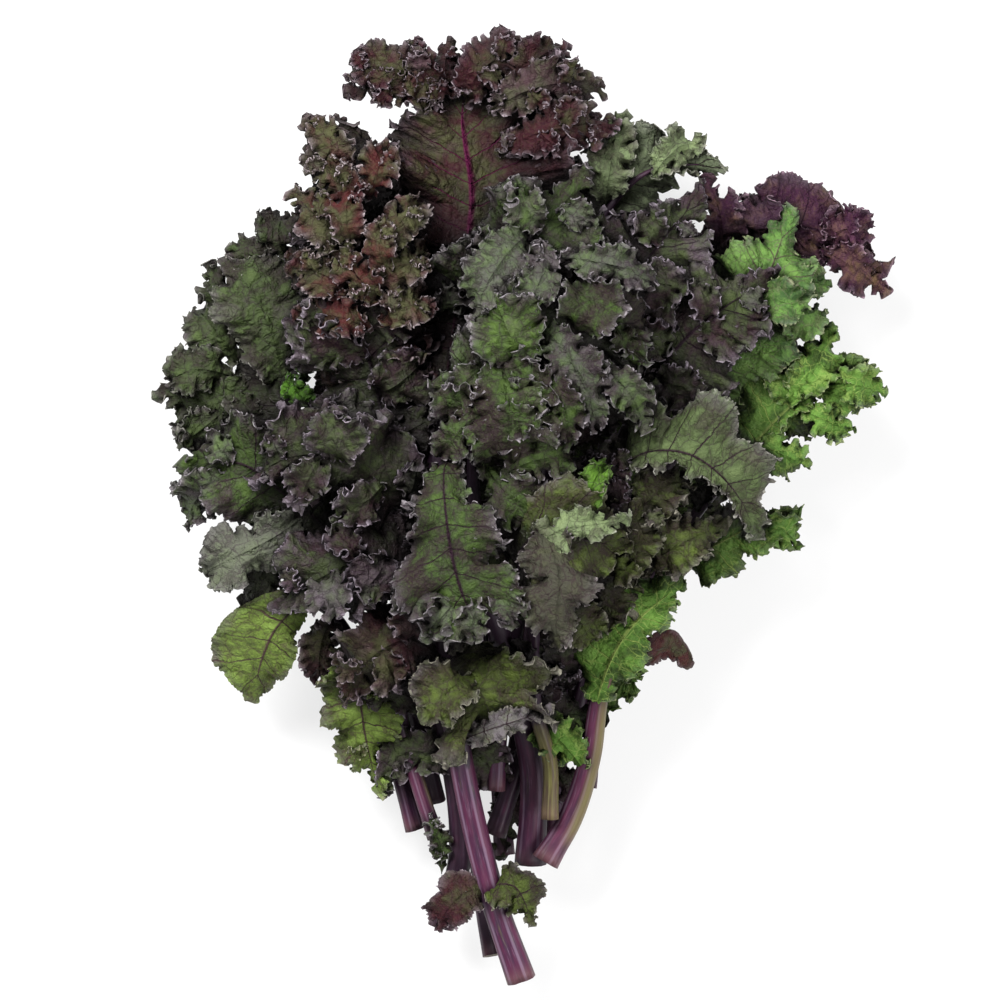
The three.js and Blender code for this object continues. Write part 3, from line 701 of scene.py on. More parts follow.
def make_object(name, vertices, quads, triangles, attributes):
    """A mesh object from points in millimetres, with its point attributes."""
    mesh = bpy.data.meshes.new(name)
    counts = np.r_[np.full(len(quads), 4), np.full(len(triangles), 3)]
    loops = np.r_[np.asarray(quads).ravel(), np.asarray(triangles).ravel()].astype(np.int32)
    mesh.vertices.add(len(vertices))
    mesh.vertices.foreach_set("co", (np.asarray(vertices) * MM).astype(np.float32).ravel())
    mesh.loops.add(len(loops))
    mesh.loops.foreach_set("vertex_index", loops)
    mesh.polygons.add(len(counts))
    mesh.polygons.foreach_set("loop_start", np.r_[0, np.cumsum(counts)[:-1]].astype(np.int32))
    mesh.update(calc_edges=True)
    mesh.validate()
    mesh.polygons.foreach_set("use_smooth", np.full(len(mesh.polygons), True))
    for label, values in attributes.items():
        layer = mesh.attributes.new(label, "FLOAT_VECTOR", "POINT")
        layer.data.foreach_set("vector", np.asarray(values, np.float32).ravel())
    piece = bpy.data.objects.new(name, mesh)
    bpy.context.scene.collection.objects.link(piece)
    return piece


SPINES = {name: Spine(leaf["curve"], leaf["face"]) for name, leaf in LEAVES.items()}


def bunch_offset():
    """Moves the tables' own origin to the frame's: the middle of the packed stalks' box."""
    shifts = []
    for name in ("crown", "frill_left", "far_purple", "smooth_left"):
        leaf, spine = LEAVES[name], SPINES[name]
        share = np.linspace(0, STALK_ENDS_AT, 200)
        point, _, up, side = spine.at(share)
        radius = stalk_radius(leaf, share)[:, None, None]
        turn = np.linspace(0, 2 * np.pi, 8, endpoint=False)[None, :, None]
        around = np.cos(turn) * side[:, None] + np.sin(turn) * up[:, None]
        skin = point[:, None] + radius * around
        low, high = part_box("stalk_" + name)
        middle = (np.array(low) + np.array(high)) / 2 / MM
        shifts.append(middle - (skin.min(axis=(0, 1)) + skin.max(axis=(0, 1))) / 2)
    return np.mean(shifts, axis=0)


OFFSET = bunch_offset()
LEAF_SEEDS, LOBE_SEEDS = 100, 200


def all_blades():
    """Every blade with its spine, the share where it starts, its span and its seed."""
    blades = {}
    for k, (name, leaf) in enumerate(LEAVES.items()):
        blade = dict(leaf, spine=SPINES[name], first=leaf["bare"],
                     seed=LEAF_SEEDS + k)
        blade["span"] = SPINES[name].length * (1 - leaf["bare"])
        blades[name] = blade
    for k, (name, lobe) in enumerate(LOBES.items()):
        foot = SPINES[lobe["of"]].at(np.array([lobe["at"]]))[0][0]
        spine = Spine([foot] + [foot + np.array(step) for step in lobe["steps"]], lobe["face"])
        blades[name] = dict(lobe, spine=spine, first=0.0, seed=LOBE_SEEDS + k,
                            span=spine.length)
    return blades


BLADES = all_blades()


def side_lobes(blade):
    """The small lobes that leave a blade's midrib on both sides and stand up from it."""
    random = np.random.default_rng(blade["seed"] + 1000)
    blooms = np.random.default_rng(blade["seed"] + 2000)
    spine, first = blade["spine"], blade["first"]
    each_side = round(blade["span"] / SIDE_LOBE_SPACING * blade["crowd"])
    each_side = min(each_side, MOST_SIDE_LOBES)
    lobes = []
    for k in range(2 * each_side):
        side = 1 if k % 2 else -1
        share = (k + 0.6 + random.uniform(-0.3, 0.3)) / (2 * each_side) * 0.86
        place = np.array([first + (1 - first) * share])
        point, tangent, up, across = (v[0] for v in spine.at(place))
        width = blade["width"] * blade_outline(np.clip(share + 0.1, 0.05, 0.95), blade["widest"])
        length = width * random.uniform(0.72, 0.98)
        lean = np.radians(random.uniform(48, 80))
        rise = np.radians(random.uniform(18, 52))
        sink = np.radians(random.uniform(-30, 10))
        out = np.cos(lean) * tangent + side * np.sin(lean) * across
        rising = (out * np.cos(rise) + up * np.sin(rise)) * length * 0.5
        sinking = (out * np.cos(sink) + up * np.sin(sink)) * length * 0.5
        foot = point + up * 0.5
        line = Spine([foot, foot + rising, foot + (rising + sinking)],
                     unit(up + 0.4 * np.cross(out, up) * random.uniform(-1, 1)))
        lilac_share = max(0.0, blooms.uniform(-0.5, 0.55)) * BLOOMY.get(blade["finish"], 0.0)
        lobes.append(dict(USUAL, spine=line, first=0.0, span=line.length,
                          seed=blade["seed"] * 20 + k, width=length * random.uniform(0.42, 0.62),
                          widest=0.62, cup=random.uniform(-0.5, 0.5), depth=0.14, lobes=1.6,
                          blunt=0.4, grow=blade["grow"], rows=LOBE_ROWS, finish=blade["finish"],
                          lilac=lilac_share))
    return lobes


def placed_lobes(name):
    """The hand-placed small lobes of a leaf."""
    blade, lobes = BLADES[name], []
    for k, lobe in enumerate(SMALL_LOBES.get(name, ())):
        line = Spine(lobe["line"], UP)
        lobes.append(dict(lobe, spine=line, first=0.0, span=line.length, widest=0.6, depth=0.14,
                          blunt=0.35, cup=-0.4, seed=blade["seed"] * 30 + k, rows=LOBE_ROWS,
                          finish=blade["finish"]))
    return lobes


def sheet(blade, settings):
    """One frilled sheet as a closed thin solid: points, faces and their attributes."""
    random = np.random.default_rng(blade["seed"])
    reach, keep = blade.get("rows", BLADE_ROWS)
    size = min(1.0, (blade["width"] / 30) ** 0.8)
    girth = 2 * (blade["span"] + blade["width"])
    columns = np.clip(girth / 10 * settings.columns_per_cm * blade["detail"],
                      FEWEST_COLUMNS, MOST_COLUMNS)
    columns = int(columns // keep[0] * keep[0])
    points, pattern, share, up = flat_blade(blade, reach, columns)
    for wave, height, starts, overhang in FRILLS:
        strength = blade["frill"] * settings.frill_height * size
        points = frill(points, up, reach, wave * (0.4 + 0.6 * size), height * strength, starts,
                       overhang, random)
    growth = 1 + (settings.growth - 1) * blade["grow"]
    points = grow(points, pattern, reach, growth, blade["width"], random)
    points, tips = bite(points, blade["teeth"], random)
    normals = upper_normals(points, up)
    thick = settings.blade_thickness / MM * (1 - MARGIN_THINNER * reach)[None, :, None]

    used, quads, triangles, rim, total = stitched_faces(columns, keep)

    def rows(values):
        return np.concatenate([values[picks, row] for row, picks in enumerate(used)])

    upper, lower = rows(points + normals * thick / 2), rows(points - normals * thick / 2)
    lower[:, 2] = np.maximum(lower[:, 2], FLOOR_CLEARANCE)
    grid = np.broadcast_to(reach[None], (columns + 1, len(reach)))
    ribs = share * blade["span"] / settings.rib_spacing * 0.1
    ribs = np.broadcast_to(ribs[:, None], grid.shape)
    if not blade.get("ribs", "radius" in blade):
        ribs, grid = ribs * 0 + 0.5, 0.1 + 0.9 * grid
    veins = rows(np.stack([ribs, grid, np.ones(grid.shape)], -1))
    beyond = np.roll(rim, -1)
    walls = np.stack([rim, rim + total, beyond + total, beyond], 1)
    middle, tips = rows(points), rows(tips)
    # tone: the lilac share, the sky seen (1 until the painted shade is worked out) and the tooth
    # tips that take the pale rim and its painted highlight
    tone = np.stack([tips * 0 + blade["lilac"], tips * 0 + 1, tips], -1)
    return (np.vstack([upper, lower]), np.vstack([quads, quads[:, ::-1] + total, walls]),
            np.vstack([triangles, triangles[:, ::-1] + total]),
            np.vstack([middle, middle]), np.vstack([veins, veins * [1, 1, 0]]),
            np.vstack([tone, tone]))


def midrib(blade):
    """The thin midrib of a lobe, which has no stalk of its own."""
    along = np.linspace(0, 0.97, 20)
    point, _, up, side = blade["spine"].at(along)
    around = MIDRIB_COLUMNS
    body, quads = tube(point, up, side, 0.03 * blade["width"] * (1 - along) + 0.2, around)
    fan = np.array([[0, k, k + 1] for k in range(1, around - 1)])
    last = len(body) - around
    triangles = np.vstack([fan, last + fan[:, ::-1]])
    return (body, quads[:, ::-1], triangles, body, np.tile([0.0, -1.0, 1.0], (len(body), 1)),
            np.tile([0.0, 1.0, 0.0], (len(body), 1)))


def build_blade(name, settings):
    blade = BLADES[name]
    placed = placed_lobes(name)
    tops = [lobe for one in placed for lobe in side_lobes(one)] if name in TOPPED else []
    sheets = [blade] + side_lobes(blade) + placed + tops
    parts = [sheet(one, settings) for one in sheets]
    if name in LOBES and blade.get("ribs"):
        parts.append(midrib(blade))
    starts = np.cumsum([0] + [len(part[0]) for part in parts])
    vertices, pattern, veins, tone = (np.vstack([part[k] for part in parts]) for k in (0, 3, 4, 5))
    quads, triangles = (np.vstack([part[k] + start for part, start in zip(parts, starts)])
                        for k in (1, 2))
    piece = make_object("leaf_" + name, vertices + OFFSET, quads, triangles,
                        {"pattern": pattern, "veins": veins, "tone": tone})
    piece.data.materials.append(blade_material(blade.get("tint", blade["finish"])))
    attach(piece, "root")
    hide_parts("blade_" + name)
    "blade_" + blade["finish"]
    return piece


# ---- Stalks ------------------------------------------------------------------------------
def stalk_profile(turn):
    """Fine ridges around the stalk and a shallow channel along its upper side."""
    ridges = 0.022 * np.cos(9 * turn + 0.5) + 0.015 * np.cos(14 * turn + 2)
    channel = 0.2 * np.exp(-((turn - np.pi / 2) / 0.42) ** 2)
    return 1 + ridges - channel


def build_stalk(name):
    leaf, spine, around = LEAVES[name], SPINES[name], STALK_COLUMNS
    main = np.linspace(0.0, STALK_ENDS_AT + 0.04, int(spine.length / 3))
    point, tangent, up, side = spine.at(main)
    radii = stalk_radius(leaf, np.minimum(main, 1)) * (1 - 0.8 * smoothstep(0.8, 1.0, main))
    body, quads = tube(point, up, side, radii, around, stalk_profile)
    # the cut end: a slightly hollow disc in two more rings and a middle point
    middle = point[0]
    rings = [middle + (body[:around] - middle) * share + tangent[0] * sunk
             for share, sunk in CUT_RINGS]
    centre = len(body) + 2 * around
    vertices = np.vstack([body, *rings, [middle + tangent[0] * CUT_DEPTH], point[-1:]])
    k = np.arange(around)
    n = (k + 1) % around
    first, second = len(body), len(body) + around
    quads = np.vstack([quads, np.stack([k, n, first + n, first + k], 1),
                       np.stack([first + k, first + n, second + n, second + k], 1)])
    last = len(body) - around
    triangles = np.vstack([np.stack([second + k, second + n, np.full(around, centre)], 1),
                           np.stack([last + n, last + k, np.full(around, centre + 1)], 1)])
    turn = np.tile(k / around, len(main))
    run = np.repeat(main * spine.length, around)
    where = np.vstack([
        np.stack([turn, run, np.zeros(len(body))], 1),
        np.stack([np.tile(k / around, 2), np.zeros(2 * around), np.ones(2 * around)], 1),
        [[0, 0, 1.0], [0, spine.length, 0]]])
    seed = np.tile([list(LEAVES).index(name) * 3.7, 0.0, 0.0], (len(vertices), 1))
    piece = make_object("petiole_" + name, vertices + OFFSET, quads[:, ::-1], triangles[:, ::-1],
                        {"stalk": where, "kind": seed, "tone": seed * 0 + [0.0, 1.0, 0.0]})
    finish = "green" if name == "sweep" else "purple"
    piece.data.materials.append(stalk_material("blush" if name in BLUSHED else finish))
    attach(piece, "root")
    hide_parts("stalk_" + name)
    "stalk_" + finish
    return piece


# ---- Painted shade and crest highlights inside the bunch, in metres ----------------------
HEIGHT_CELL = 0.0012
SKY_DIRECTIONS = 10
SKY_DISTANCES = (0.003, 0.006, 0.010, 0.016, 0.024)
# How far around a point to look for the painted lilac highlight on crests that stand out of the
# bunch: directions and distances.
CREST_DIRECTIONS = 6
CREST_DISTANCES = (0.004, 0.009)
RESTING_HEIGHTS = (0.045, 0.015)  # leaves on the surface are lit from the side
# The least sky seen that a leaf on the surface keeps, so that its painted shade stays light.
RESTING_LIGHT = 0.42


def bearings(count):
    return np.arange(count) / count * 2 * np.pi


def sky_seen(points, heights, low):
    """How much of the sky each point sees over the bunch, and how far it stands out of it."""
    def height(x, y):
        column = np.clip(((x - low[0]) / HEIGHT_CELL).astype(int), 0, heights.shape[0] - 1)
        row = np.clip(((y - low[1]) / HEIGHT_CELL).astype(int), 0, heights.shape[1] - 1)
        return heights[column, row]

    def height_off(turn, far):
        return height(points[:, 0] + far * np.cos(turn), points[:, 1] + far * np.sin(turn))

    seen = np.zeros(len(points))
    for turn in bearings(SKY_DIRECTIONS):
        slope = np.zeros(len(points))
        for far in SKY_DISTANCES:
            slope = np.maximum(slope, (height_off(turn, far) - points[:, 2] - 0.001) / far)
        seen += (1 - slope / np.sqrt(1 + slope ** 2)) / SKY_DIRECTIONS
    covered = np.maximum(0, height(points[:, 0], points[:, 1]) - points[:, 2] - 0.002)
    around = [height_off(turn, far)
              for turn in bearings(CREST_DIRECTIONS) for far in CREST_DISTANCES]
    crest_highlight = np.clip((points[:, 2] - np.mean(around, axis=0)) / 0.010 - 0.3, 0, 1)
    return seen / (1 + covered / 0.012), crest_highlight


def triples(items, label):
    """The vectors of a mesh's vertices or attribute, one to a row."""
    flat = np.empty(len(items) * 3, np.float32)
    items.foreach_get(label, flat)
    return flat.reshape(-1, 3)


def shade_bunch():
    """Stores how much sky each point sees, and lends bloom to what stands out."""
    pieces = [piece for piece in bpy.data.objects if piece.name.startswith(("leaf_", "petiole_"))]
    clouds = [triples(piece.data.vertices, "co") for piece in pieces]
    everything = np.vstack(clouds)
    low = everything.min(axis=0)
    size = np.ceil((everything.max(axis=0) - low) / HEIGHT_CELL).astype(int) + 1
    heights = np.zeros((size[0], size[1]), np.float32)
    place = ((everything[:, :2] - low[:2]) / HEIGHT_CELL).astype(int)
    np.maximum.at(heights, (place[:, 0], place[:, 1]), everything[:, 2])
    for piece, cloud in zip(pieces, clouds):
        attributes = piece.data.attributes
        tone = triples(attributes["tone"].data, "vector")
        # the share of sky each point sees, which the materials turn into painted shade
        tone[:, 1], crest_highlight = sky_seen(cloud, heights, low)
        resting = smoothstep(*RESTING_HEIGHTS, cloud[:, 2])
        tone[:, 1] = np.maximum(tone[:, 1], RESTING_LIGHT * resting)
        if "veins" in attributes:
            reach = triples(attributes["veins"].data, "vector")[:, 1]
            crest_highlight = crest_highlight * smoothstep(0.7, 1.0, reach)
        # painted highlight: lilac on crests that stand out near the margin, over the blade's own
        # bloom; bright green lobes (under 0) keep their share
        tone[:, 0] = np.where(tone[:, 0] < 0, tone[:, 0], np.maximum(tone[:, 0], crest_highlight * 0.5))
        attributes["tone"].data.foreach_set("vector", tone.ravel())


# ---- Shader maths ------------------------------------------------------------------------
class Value:
    """A socket with arithmetic: each operator adds a Math node."""

    def __init__(self, nodes, socket):
        self.nodes, self.socket = nodes, socket

    def __add__(self, other): return self.nodes.math("ADD", self, other)
    def __radd__(self, other): return self.nodes.math("ADD", other, self)
    def __sub__(self, other): return self.nodes.math("SUBTRACT", self, other)
    def __rsub__(self, other): return self.nodes.math("SUBTRACT", other, self)
    def __mul__(self, other): return self.nodes.math("MULTIPLY", self, other)
    def __rmul__(self, other): return self.nodes.math("MULTIPLY", other, self)

    def step(self, low, high):
        """0 below low, 1 above high, smooth between."""
        return self.nodes.node("ShaderNodeMapRange", dict(interpolation_type="SMOOTHSTEP"),
                               {0: self, 1: low, 2: high, 3: 0.0, 4: 1.0})


class Nodes:
    """Builds one material's node tree."""

    def __init__(self, material):
        material.use_nodes = True
        self.tree = material.node_tree
        self.tree.nodes.clear()

    def node(self, kind, settings=None, inputs=None, output=0):
        """Any node: its settings first, then the values or links of its sockets."""
        made = self.tree.nodes.new(kind)
        for label, value in (settings or {}).items():
            setattr(made, label, value)
        for socket, value in (inputs or {}).items():
            self.put(made.inputs[socket], value)
        return Value(self, made.outputs[output]) if len(made.outputs) else None

    def put(self, socket, value):
        if isinstance(value, Value):
            self.tree.links.new(value.socket, socket)
        elif socket.type == "RGBA":
            socket.default_value = (*value, 1.0)
        else:
            socket.default_value = value

    def math(self, operation, *values):
        return self.node("ShaderNodeMath", dict(operation=operation), dict(enumerate(values)))

    def attribute(self, label):
        """The three numbers of a point attribute, and the attribute as a vector."""
        vector = self.node("ShaderNodeAttribute", dict(attribute_name=label), output=1)
        split = self.node("ShaderNodeSeparateXYZ", inputs={0: vector})
        return (*self.outputs(split, 0, 1, 2), vector)

    def outputs(self, value, *labels):
        """These outputs of the node that a value comes from."""
        return [Value(self, value.socket.node.outputs[label]) for label in labels]

    def vector(self, operation, *values):
        return self.node("ShaderNodeVectorMath", dict(operation=operation),
                         dict(enumerate(values)))

    def combine(self, x, y, z):
        return self.node("ShaderNodeCombineXYZ", inputs={0: x, 1: y, 2: z})

    def noise(self, vector, scale, detail=3.0, rough=0.55, distort=0.0):
        return self.node("ShaderNodeTexNoise", dict(noise_dimensions="3D"),
                         {"Vector": vector, "Scale": scale, "Detail": detail, "Roughness": rough,
                          "Distortion": distort})

    def cells(self, vector, scale):
        """The distance to the nearest edge between two cells."""
        return self.node("ShaderNodeTexVoronoi",
                         dict(feature="DISTANCE_TO_EDGE", voronoi_dimensions="3D"),
                         {"Vector": vector, "Scale": scale})

    def mix(self, share, first, second):
        """Mixes two colours."""
        return self.node("ShaderNodeMix", dict(data_type="RGBA", clamp_factor=True),
                         {0: share, 6: first, 7: second}, output=2)

    def mix_shaders(self, share, first, second):
        return self.node("ShaderNodeMixShader", {}, {0: share, 1: first, 2: second})


def srgb(red, green, blue):
    """A colour given as it looks on screen, 0 to 255, as light values."""
    def light(v):
        v /= 255
        return v / 12.92 if v <= 0.04045 else ((v + 0.055) / 1.055) ** 2.4
    return (light(red), light(green), light(blue))


def tint(much, **colours):
    return dict({part: srgb(*colour) for part, colour in colours.items()}, much=much)


# Painted shade: the colours that blades and stalks darken towards where they see little sky over
# the bunch.
PAINTED_SHADE = srgb(22, 19, 20)
PAINTED_SHADE_STALK = srgb(30, 17, 29)

# How much of a blade is stained, and its colours. leaf: its upper side. glow: bright patches,
# which
# also stand for painted highlight in the middle of the raised cells. stain: what darkens it. edge:
# towards the margin. rim: the very edge, its own pale bloom and a painted highlight on the tooth
# tips. under: its lower side. rib: its midrib, where that differs from the veins.
FINISHES = {
    "olive": tint(0.45, leaf=(58, 64, 36), glow=(92, 108, 46), stain=(48, 44, 32),
        edge=(78, 76, 54), rim=(160, 156, 140), vein=(52, 34, 42), under=(120, 118, 100)),
    "veined": tint(0.35, leaf=(70, 82, 52), glow=(106, 122, 78), stain=(58, 60, 44),
        edge=(94, 94, 78), rim=(168, 166, 156), vein=(44, 26, 38), under=(116, 112, 108)),
    "dull": tint(0.45, leaf=(56, 65, 43), glow=(84, 100, 56), stain=(52, 47, 42),
        edge=(84, 80, 76), rim=(160, 158, 148), vein=(42, 26, 36), under=(116, 112, 108)),
    "lilac": tint(0.4, leaf=(90, 98, 76), glow=(116, 126, 94), stain=(74, 72, 68),
        edge=(102, 98, 98), rim=(170, 166, 164), vein=(58, 42, 54), under=(104, 108, 94)),
    "dark": tint(0.48, leaf=(50, 54, 40), glow=(76, 88, 50), stain=(48, 32, 37), edge=(84, 70, 80),
        rim=(172, 160, 172), vein=(36, 20, 32), under=(114, 104, 114)),
    "red": tint(0.5, leaf=(62, 60, 43), glow=(86, 88, 56), stain=(72, 32, 33), edge=(92, 84, 78),
        rim=(192, 178, 182), vein=(44, 16, 26), under=(110, 92, 94)),
    "crown": tint(0.6, leaf=(54, 50, 38), glow=(76, 78, 48), stain=(58, 28, 34), edge=(86, 74, 72),
        rim=(172, 158, 166), vein=(40, 18, 28), under=(114, 100, 108), rib=(88, 20, 60)),
    "green": tint(0.42, leaf=(52, 64, 38), glow=(90, 114, 52), stain=(48, 40, 38),
        edge=(84, 78, 74), rim=(172, 164, 170), vein=(44, 26, 38), under=(116, 110, 114)),
    "fresh": tint(0.3, leaf=(92, 128, 62), glow=(134, 168, 88), stain=(58, 84, 46),
        edge=(96, 116, 66), rim=(164, 166, 132), vein=(92, 84, 72), under=(118, 146, 84)),
    "bright": tint(0.3, leaf=(80, 116, 48), glow=(120, 158, 72), stain=(50, 68, 34),
        edge=(84, 108, 48), rim=(158, 166, 118), vein=(140, 160, 84), under=(118, 146, 84)),
    "round": tint(0.3, leaf=(94, 112, 50), glow=(130, 156, 74), stain=(62, 68, 38),
        edge=(96, 100, 64), rim=(158, 158, 124), vein=(70, 48, 52), under=(120, 130, 96)),
    "pale": tint(0.3, leaf=(104, 118, 84), glow=(140, 156, 108), stain=(80, 82, 64),
        edge=(116, 118, 98), rim=(172, 170, 158), vein=(50, 34, 42), under=(128, 140, 112)),
    "mauve": tint(0.4, leaf=(60, 54, 46), glow=(92, 94, 64), stain=(54, 42, 46), edge=(90, 78, 82),
        rim=(176, 166, 168), vein=(46, 24, 38), under=(72, 76, 60)),
    "purple": tint(0.55, leaf=(82, 52, 62), glow=(104, 86, 52), stain=(58, 28, 50),
        edge=(96, 60, 80), rim=(166, 136, 152), vein=(42, 18, 36), under=(116, 96, 104)),
}


def blade_material(finish):
    name = "kale_blade_" + finish
    if name in bpy.data.materials:
        return bpy.data.materials[name]
    shades = FINISHES[finish]
    material = bpy.data.materials.new(name)
    n = Nodes(material)
    pattern = n.attribute("pattern")[3]
    rib, reach, upper, _ = n.attribute("veins")
    broad = n.noise(pattern, 0.03, 3.0, 0.6)
    mid = n.noise(pattern, 0.11, 4.0, 0.6, 0.4)
    fine = n.noise(pattern, 0.9, 3.0, 0.65)
    crumple = n.noise(pattern, 0.24, 3.0, 0.55, 0.8)

    # side veins run along the ribs, fork, and are joined by a net and a finer mesh
    wander = (mid - 0.5) * 0.35
    off_rib = n.math("ABSOLUTE", n.math("FRACT", rib + wander + 0.5) - 0.5)
    side_vein = 1 - off_rib.step(0.006, 0.038 - reach * 0.018)
    off_fork = n.math("ABSOLUTE", n.math("FRACT", (rib + wander * 1.6) * 3.0) - 0.5)
    forks = (1 - off_fork.step(0.02, 0.08)) * reach.step(0.3, 0.5) * (1 - reach.step(0.75, 0.95))
    swirl = n.node("ShaderNodeTexNoise", dict(noise_dimensions="3D"),
                   {"Vector": pattern, "Scale": 0.16, "Detail": 2.0}, output=1)
    warped = n.vector("MULTIPLY_ADD", swirl, (5.0, 5.0, 5.0), pattern)
    off_net = n.cells(warped, 0.15)
    net = 1 - off_net.step(0.004, 0.042)
    off_mesh = n.cells(warped, 0.5)
    mesh = 1 - off_mesh.step(0.0, 0.09)
    midrib = 1 - reach.step(0.008, 0.028)
    vein = n.math("MAXIMUM", n.math("MAXIMUM", side_vein, forks * 0.6),
                  n.math("MAXIMUM", net * 0.7, mesh * 0.15))
    vein = n.math("MAXIMUM", vein, midrib)
    on_midrib_tube = 1 - reach.step(-0.6, -0.4)

    stained = (broad - 0.5) * 2.4 + (mid - 0.5) * 2.6 + shades["much"] + (reach - 0.6) * 0.3
    colour = n.mix(stained.step(0.15, 0.85), shades["leaf"], shades["stain"])
    # bright patches, strongest in the middle of each cell between the veins: partly the leaf's own
    # green, partly painted highlight on the raised cells
    patch = 1 - (broad * 0.7 + mid * 0.5 - 0.1).step(0.36, 0.58)
    colour = n.mix(patch * (0.2 + off_net.step(0.0, 0.3) * 0.45), colour, shades["glow"])
    tinged = (1 - broad) * 1.3 + (mid - 0.5) * 1.4 + reach * 0.35
    colour = n.mix(tinged.step(0.85, 1.4) * 0.75, colour, shades["edge"])
    colour = n.mix(fine.step(0.45, 0.8) * 0.3, colour, shades["glow"])
    colour = n.mix((1 - upper) * (0.55 + (mid - 0.5) * 0.8), colour, shades["under"])
    colour = n.node("ShaderNodeHueSaturation", {}, {"Value": 1.02, "Color": colour})
    # tone: the lilac share, which is the blade's own bloom raised by a painted highlight on
    # crests; the sky seen, used for painted shade; and the tooth tips
    lilac_share, shade, tip, _ = n.attribute("tone")
    colour = n.mix(lilac_share * (0.6 + (mid - 0.5) * 1.5), colour, srgb(116, 108, 116))
    colour = n.mix(lilac_share * -0.9, colour, n.mix(net, srgb(92, 140, 44), srgb(64, 96, 40)))
    colour = n.mix(vein * 0.8, colour, shades["vein"])
    rooted = n.math("MAXIMUM", 1 - reach.step(0.012, 0.05),
                    side_vein * (1 - reach.step(0.25, 0.7)))
    colour = n.mix(rooted * 0.85, colour, shades.get("rib", shades["vein"]))
    # pale rim on the tooth tips: partly the margin's own pale bloom, partly painted highlight
    # where the tips catch the light
    rim = tip.step(0.05, 0.6) * (0.25 + (mid + (fine - 0.5) * 0.8).step(0.4, 0.6) * 0.75)
    colour = n.mix(rim * 0.8, colour, shades["rim"])
    colour = n.mix(on_midrib_tube, colour, shades["vein"])
    # painted shade: darker where the point sees little sky over the bunch
    colour = n.mix(1 - shade.step(0.0, 0.78), colour, PAINTED_SHADE)

    height = (off_net.step(0.0, 0.35) * 0.8 + off_mesh.step(0.0, 0.3) * 0.2
              - side_vein * 0.7 - forks * 0.3 + fine * 0.5 + crumple * 2.4)
    bump = n.node("ShaderNodeBump", {}, {"Strength": 0.9, "Distance": 0.001, "Height": height})
    rough = 0.5 + (mid - 0.5) * 0.3 + (1 - upper) * 0.16
    skin = n.node("ShaderNodeBsdfPrincipled", {}, {
        "Base Color": colour, "Roughness": rough, "Normal": bump, "IOR": 1.4,
        "Specular IOR Level": 0.12})
    through = n.node("ShaderNodeBsdfTranslucent", {}, {"Color": shades["leaf"], "Normal": bump})
    n.node("ShaderNodeOutputMaterial", {}, {0: n.mix_shaders(0.15, skin, through)})
    return material


# How much of a stalk's outer side is green, and its colours.
STALK_TINTS = {
    "purple": tint(0.0, skin=(76, 30, 56), dark=(44, 20, 44), ridge=(138, 116, 138),
        green=(98, 88, 56)),
    "blush": tint(0.85, skin=(84, 38, 62), dark=(54, 26, 48), ridge=(142, 118, 136),
        green=(102, 94, 58)),
    "green": tint(0.0, skin=(104, 100, 56), dark=(70, 54, 48), ridge=(140, 134, 92),
        green=(106, 112, 58)),
}


def stalk_material(finish):
    name = "kale_stalk_" + finish
    if name in bpy.data.materials:
        return bpy.data.materials[name]
    shades = STALK_TINTS[finish]
    material = bpy.data.materials.new(name)
    n = Nodes(material)
    turn, run, cut, _ = n.attribute("stalk")
    seed = n.attribute("kind")[0]
    angle = turn * (2 * math.pi)
    x, y = n.math("COSINE", angle), n.math("SINE", angle)
    streaks = n.noise(n.combine(x * 5 + seed, y * 5, run * 0.06), 1.6, 4.0, 0.6)
    patches = n.noise(n.combine(x * 2 + seed, y * 2, run * 0.05), 0.9, 3.0, 0.6)
    speckle = n.noise(n.combine(x * 6, y * 6, run + seed), 1.1, 2.0, 0.5)
    ridge = n.math("COSINE", angle * 5 + 0.5)
    colour = n.mix(patches.step(0.35, 0.7), shades["skin"], shades["dark"])
    colour = n.mix(streaks.step(0.52, 0.8) * 0.4, colour, shades["ridge"])
    colour = n.mix(ridge.step(0.7, 1.0) * 0.4, colour, shades["ridge"])
    colour = n.mix(patches.step(0.62, 0.8) * 0.5, colour, shades["green"])
    outer = n.math("COSINE", angle - 0.2).step(0.15, 0.85) * run.step(6.0, 20.0)
    outer = outer * (1 - run.step(70.0, 110.0)) * (0.5 + patches)
    colour = n.mix(outer * shades["much"], colour, shades["green"])
    colour = n.mix((1 - run.step(0.0, 9.0)) * 0.4, colour, srgb(104, 78, 70))
    colour = n.mix(cut, colour, n.mix(speckle, srgb(128, 112, 84), srgb(166, 156, 116)))
    # painted shade: the stalk darkens where it sees little sky over the bunch
    shade = n.attribute("tone")[1]
    colour = n.mix(1 - shade.step(0.15, 0.95), colour, PAINTED_SHADE_STALK)
    height = ridge * 0.4 + streaks * 0.6 + speckle * 0.1
    bump = n.node("ShaderNodeBump", {}, {"Strength": 0.5, "Distance": 0.0004, "Height": height})
    skin = n.node("ShaderNodeBsdfPrincipled", {}, {
        "Base Color": colour, "Roughness": 0.4 + streaks * 0.2, "Normal": bump, "IOR": 1.42,
        "Specular IOR Level": 0.22, "Coat Weight": 0.06, "Coat Roughness": 0.3})
    n.node("ShaderNodeOutputMaterial", {}, {0: skin})
    return material


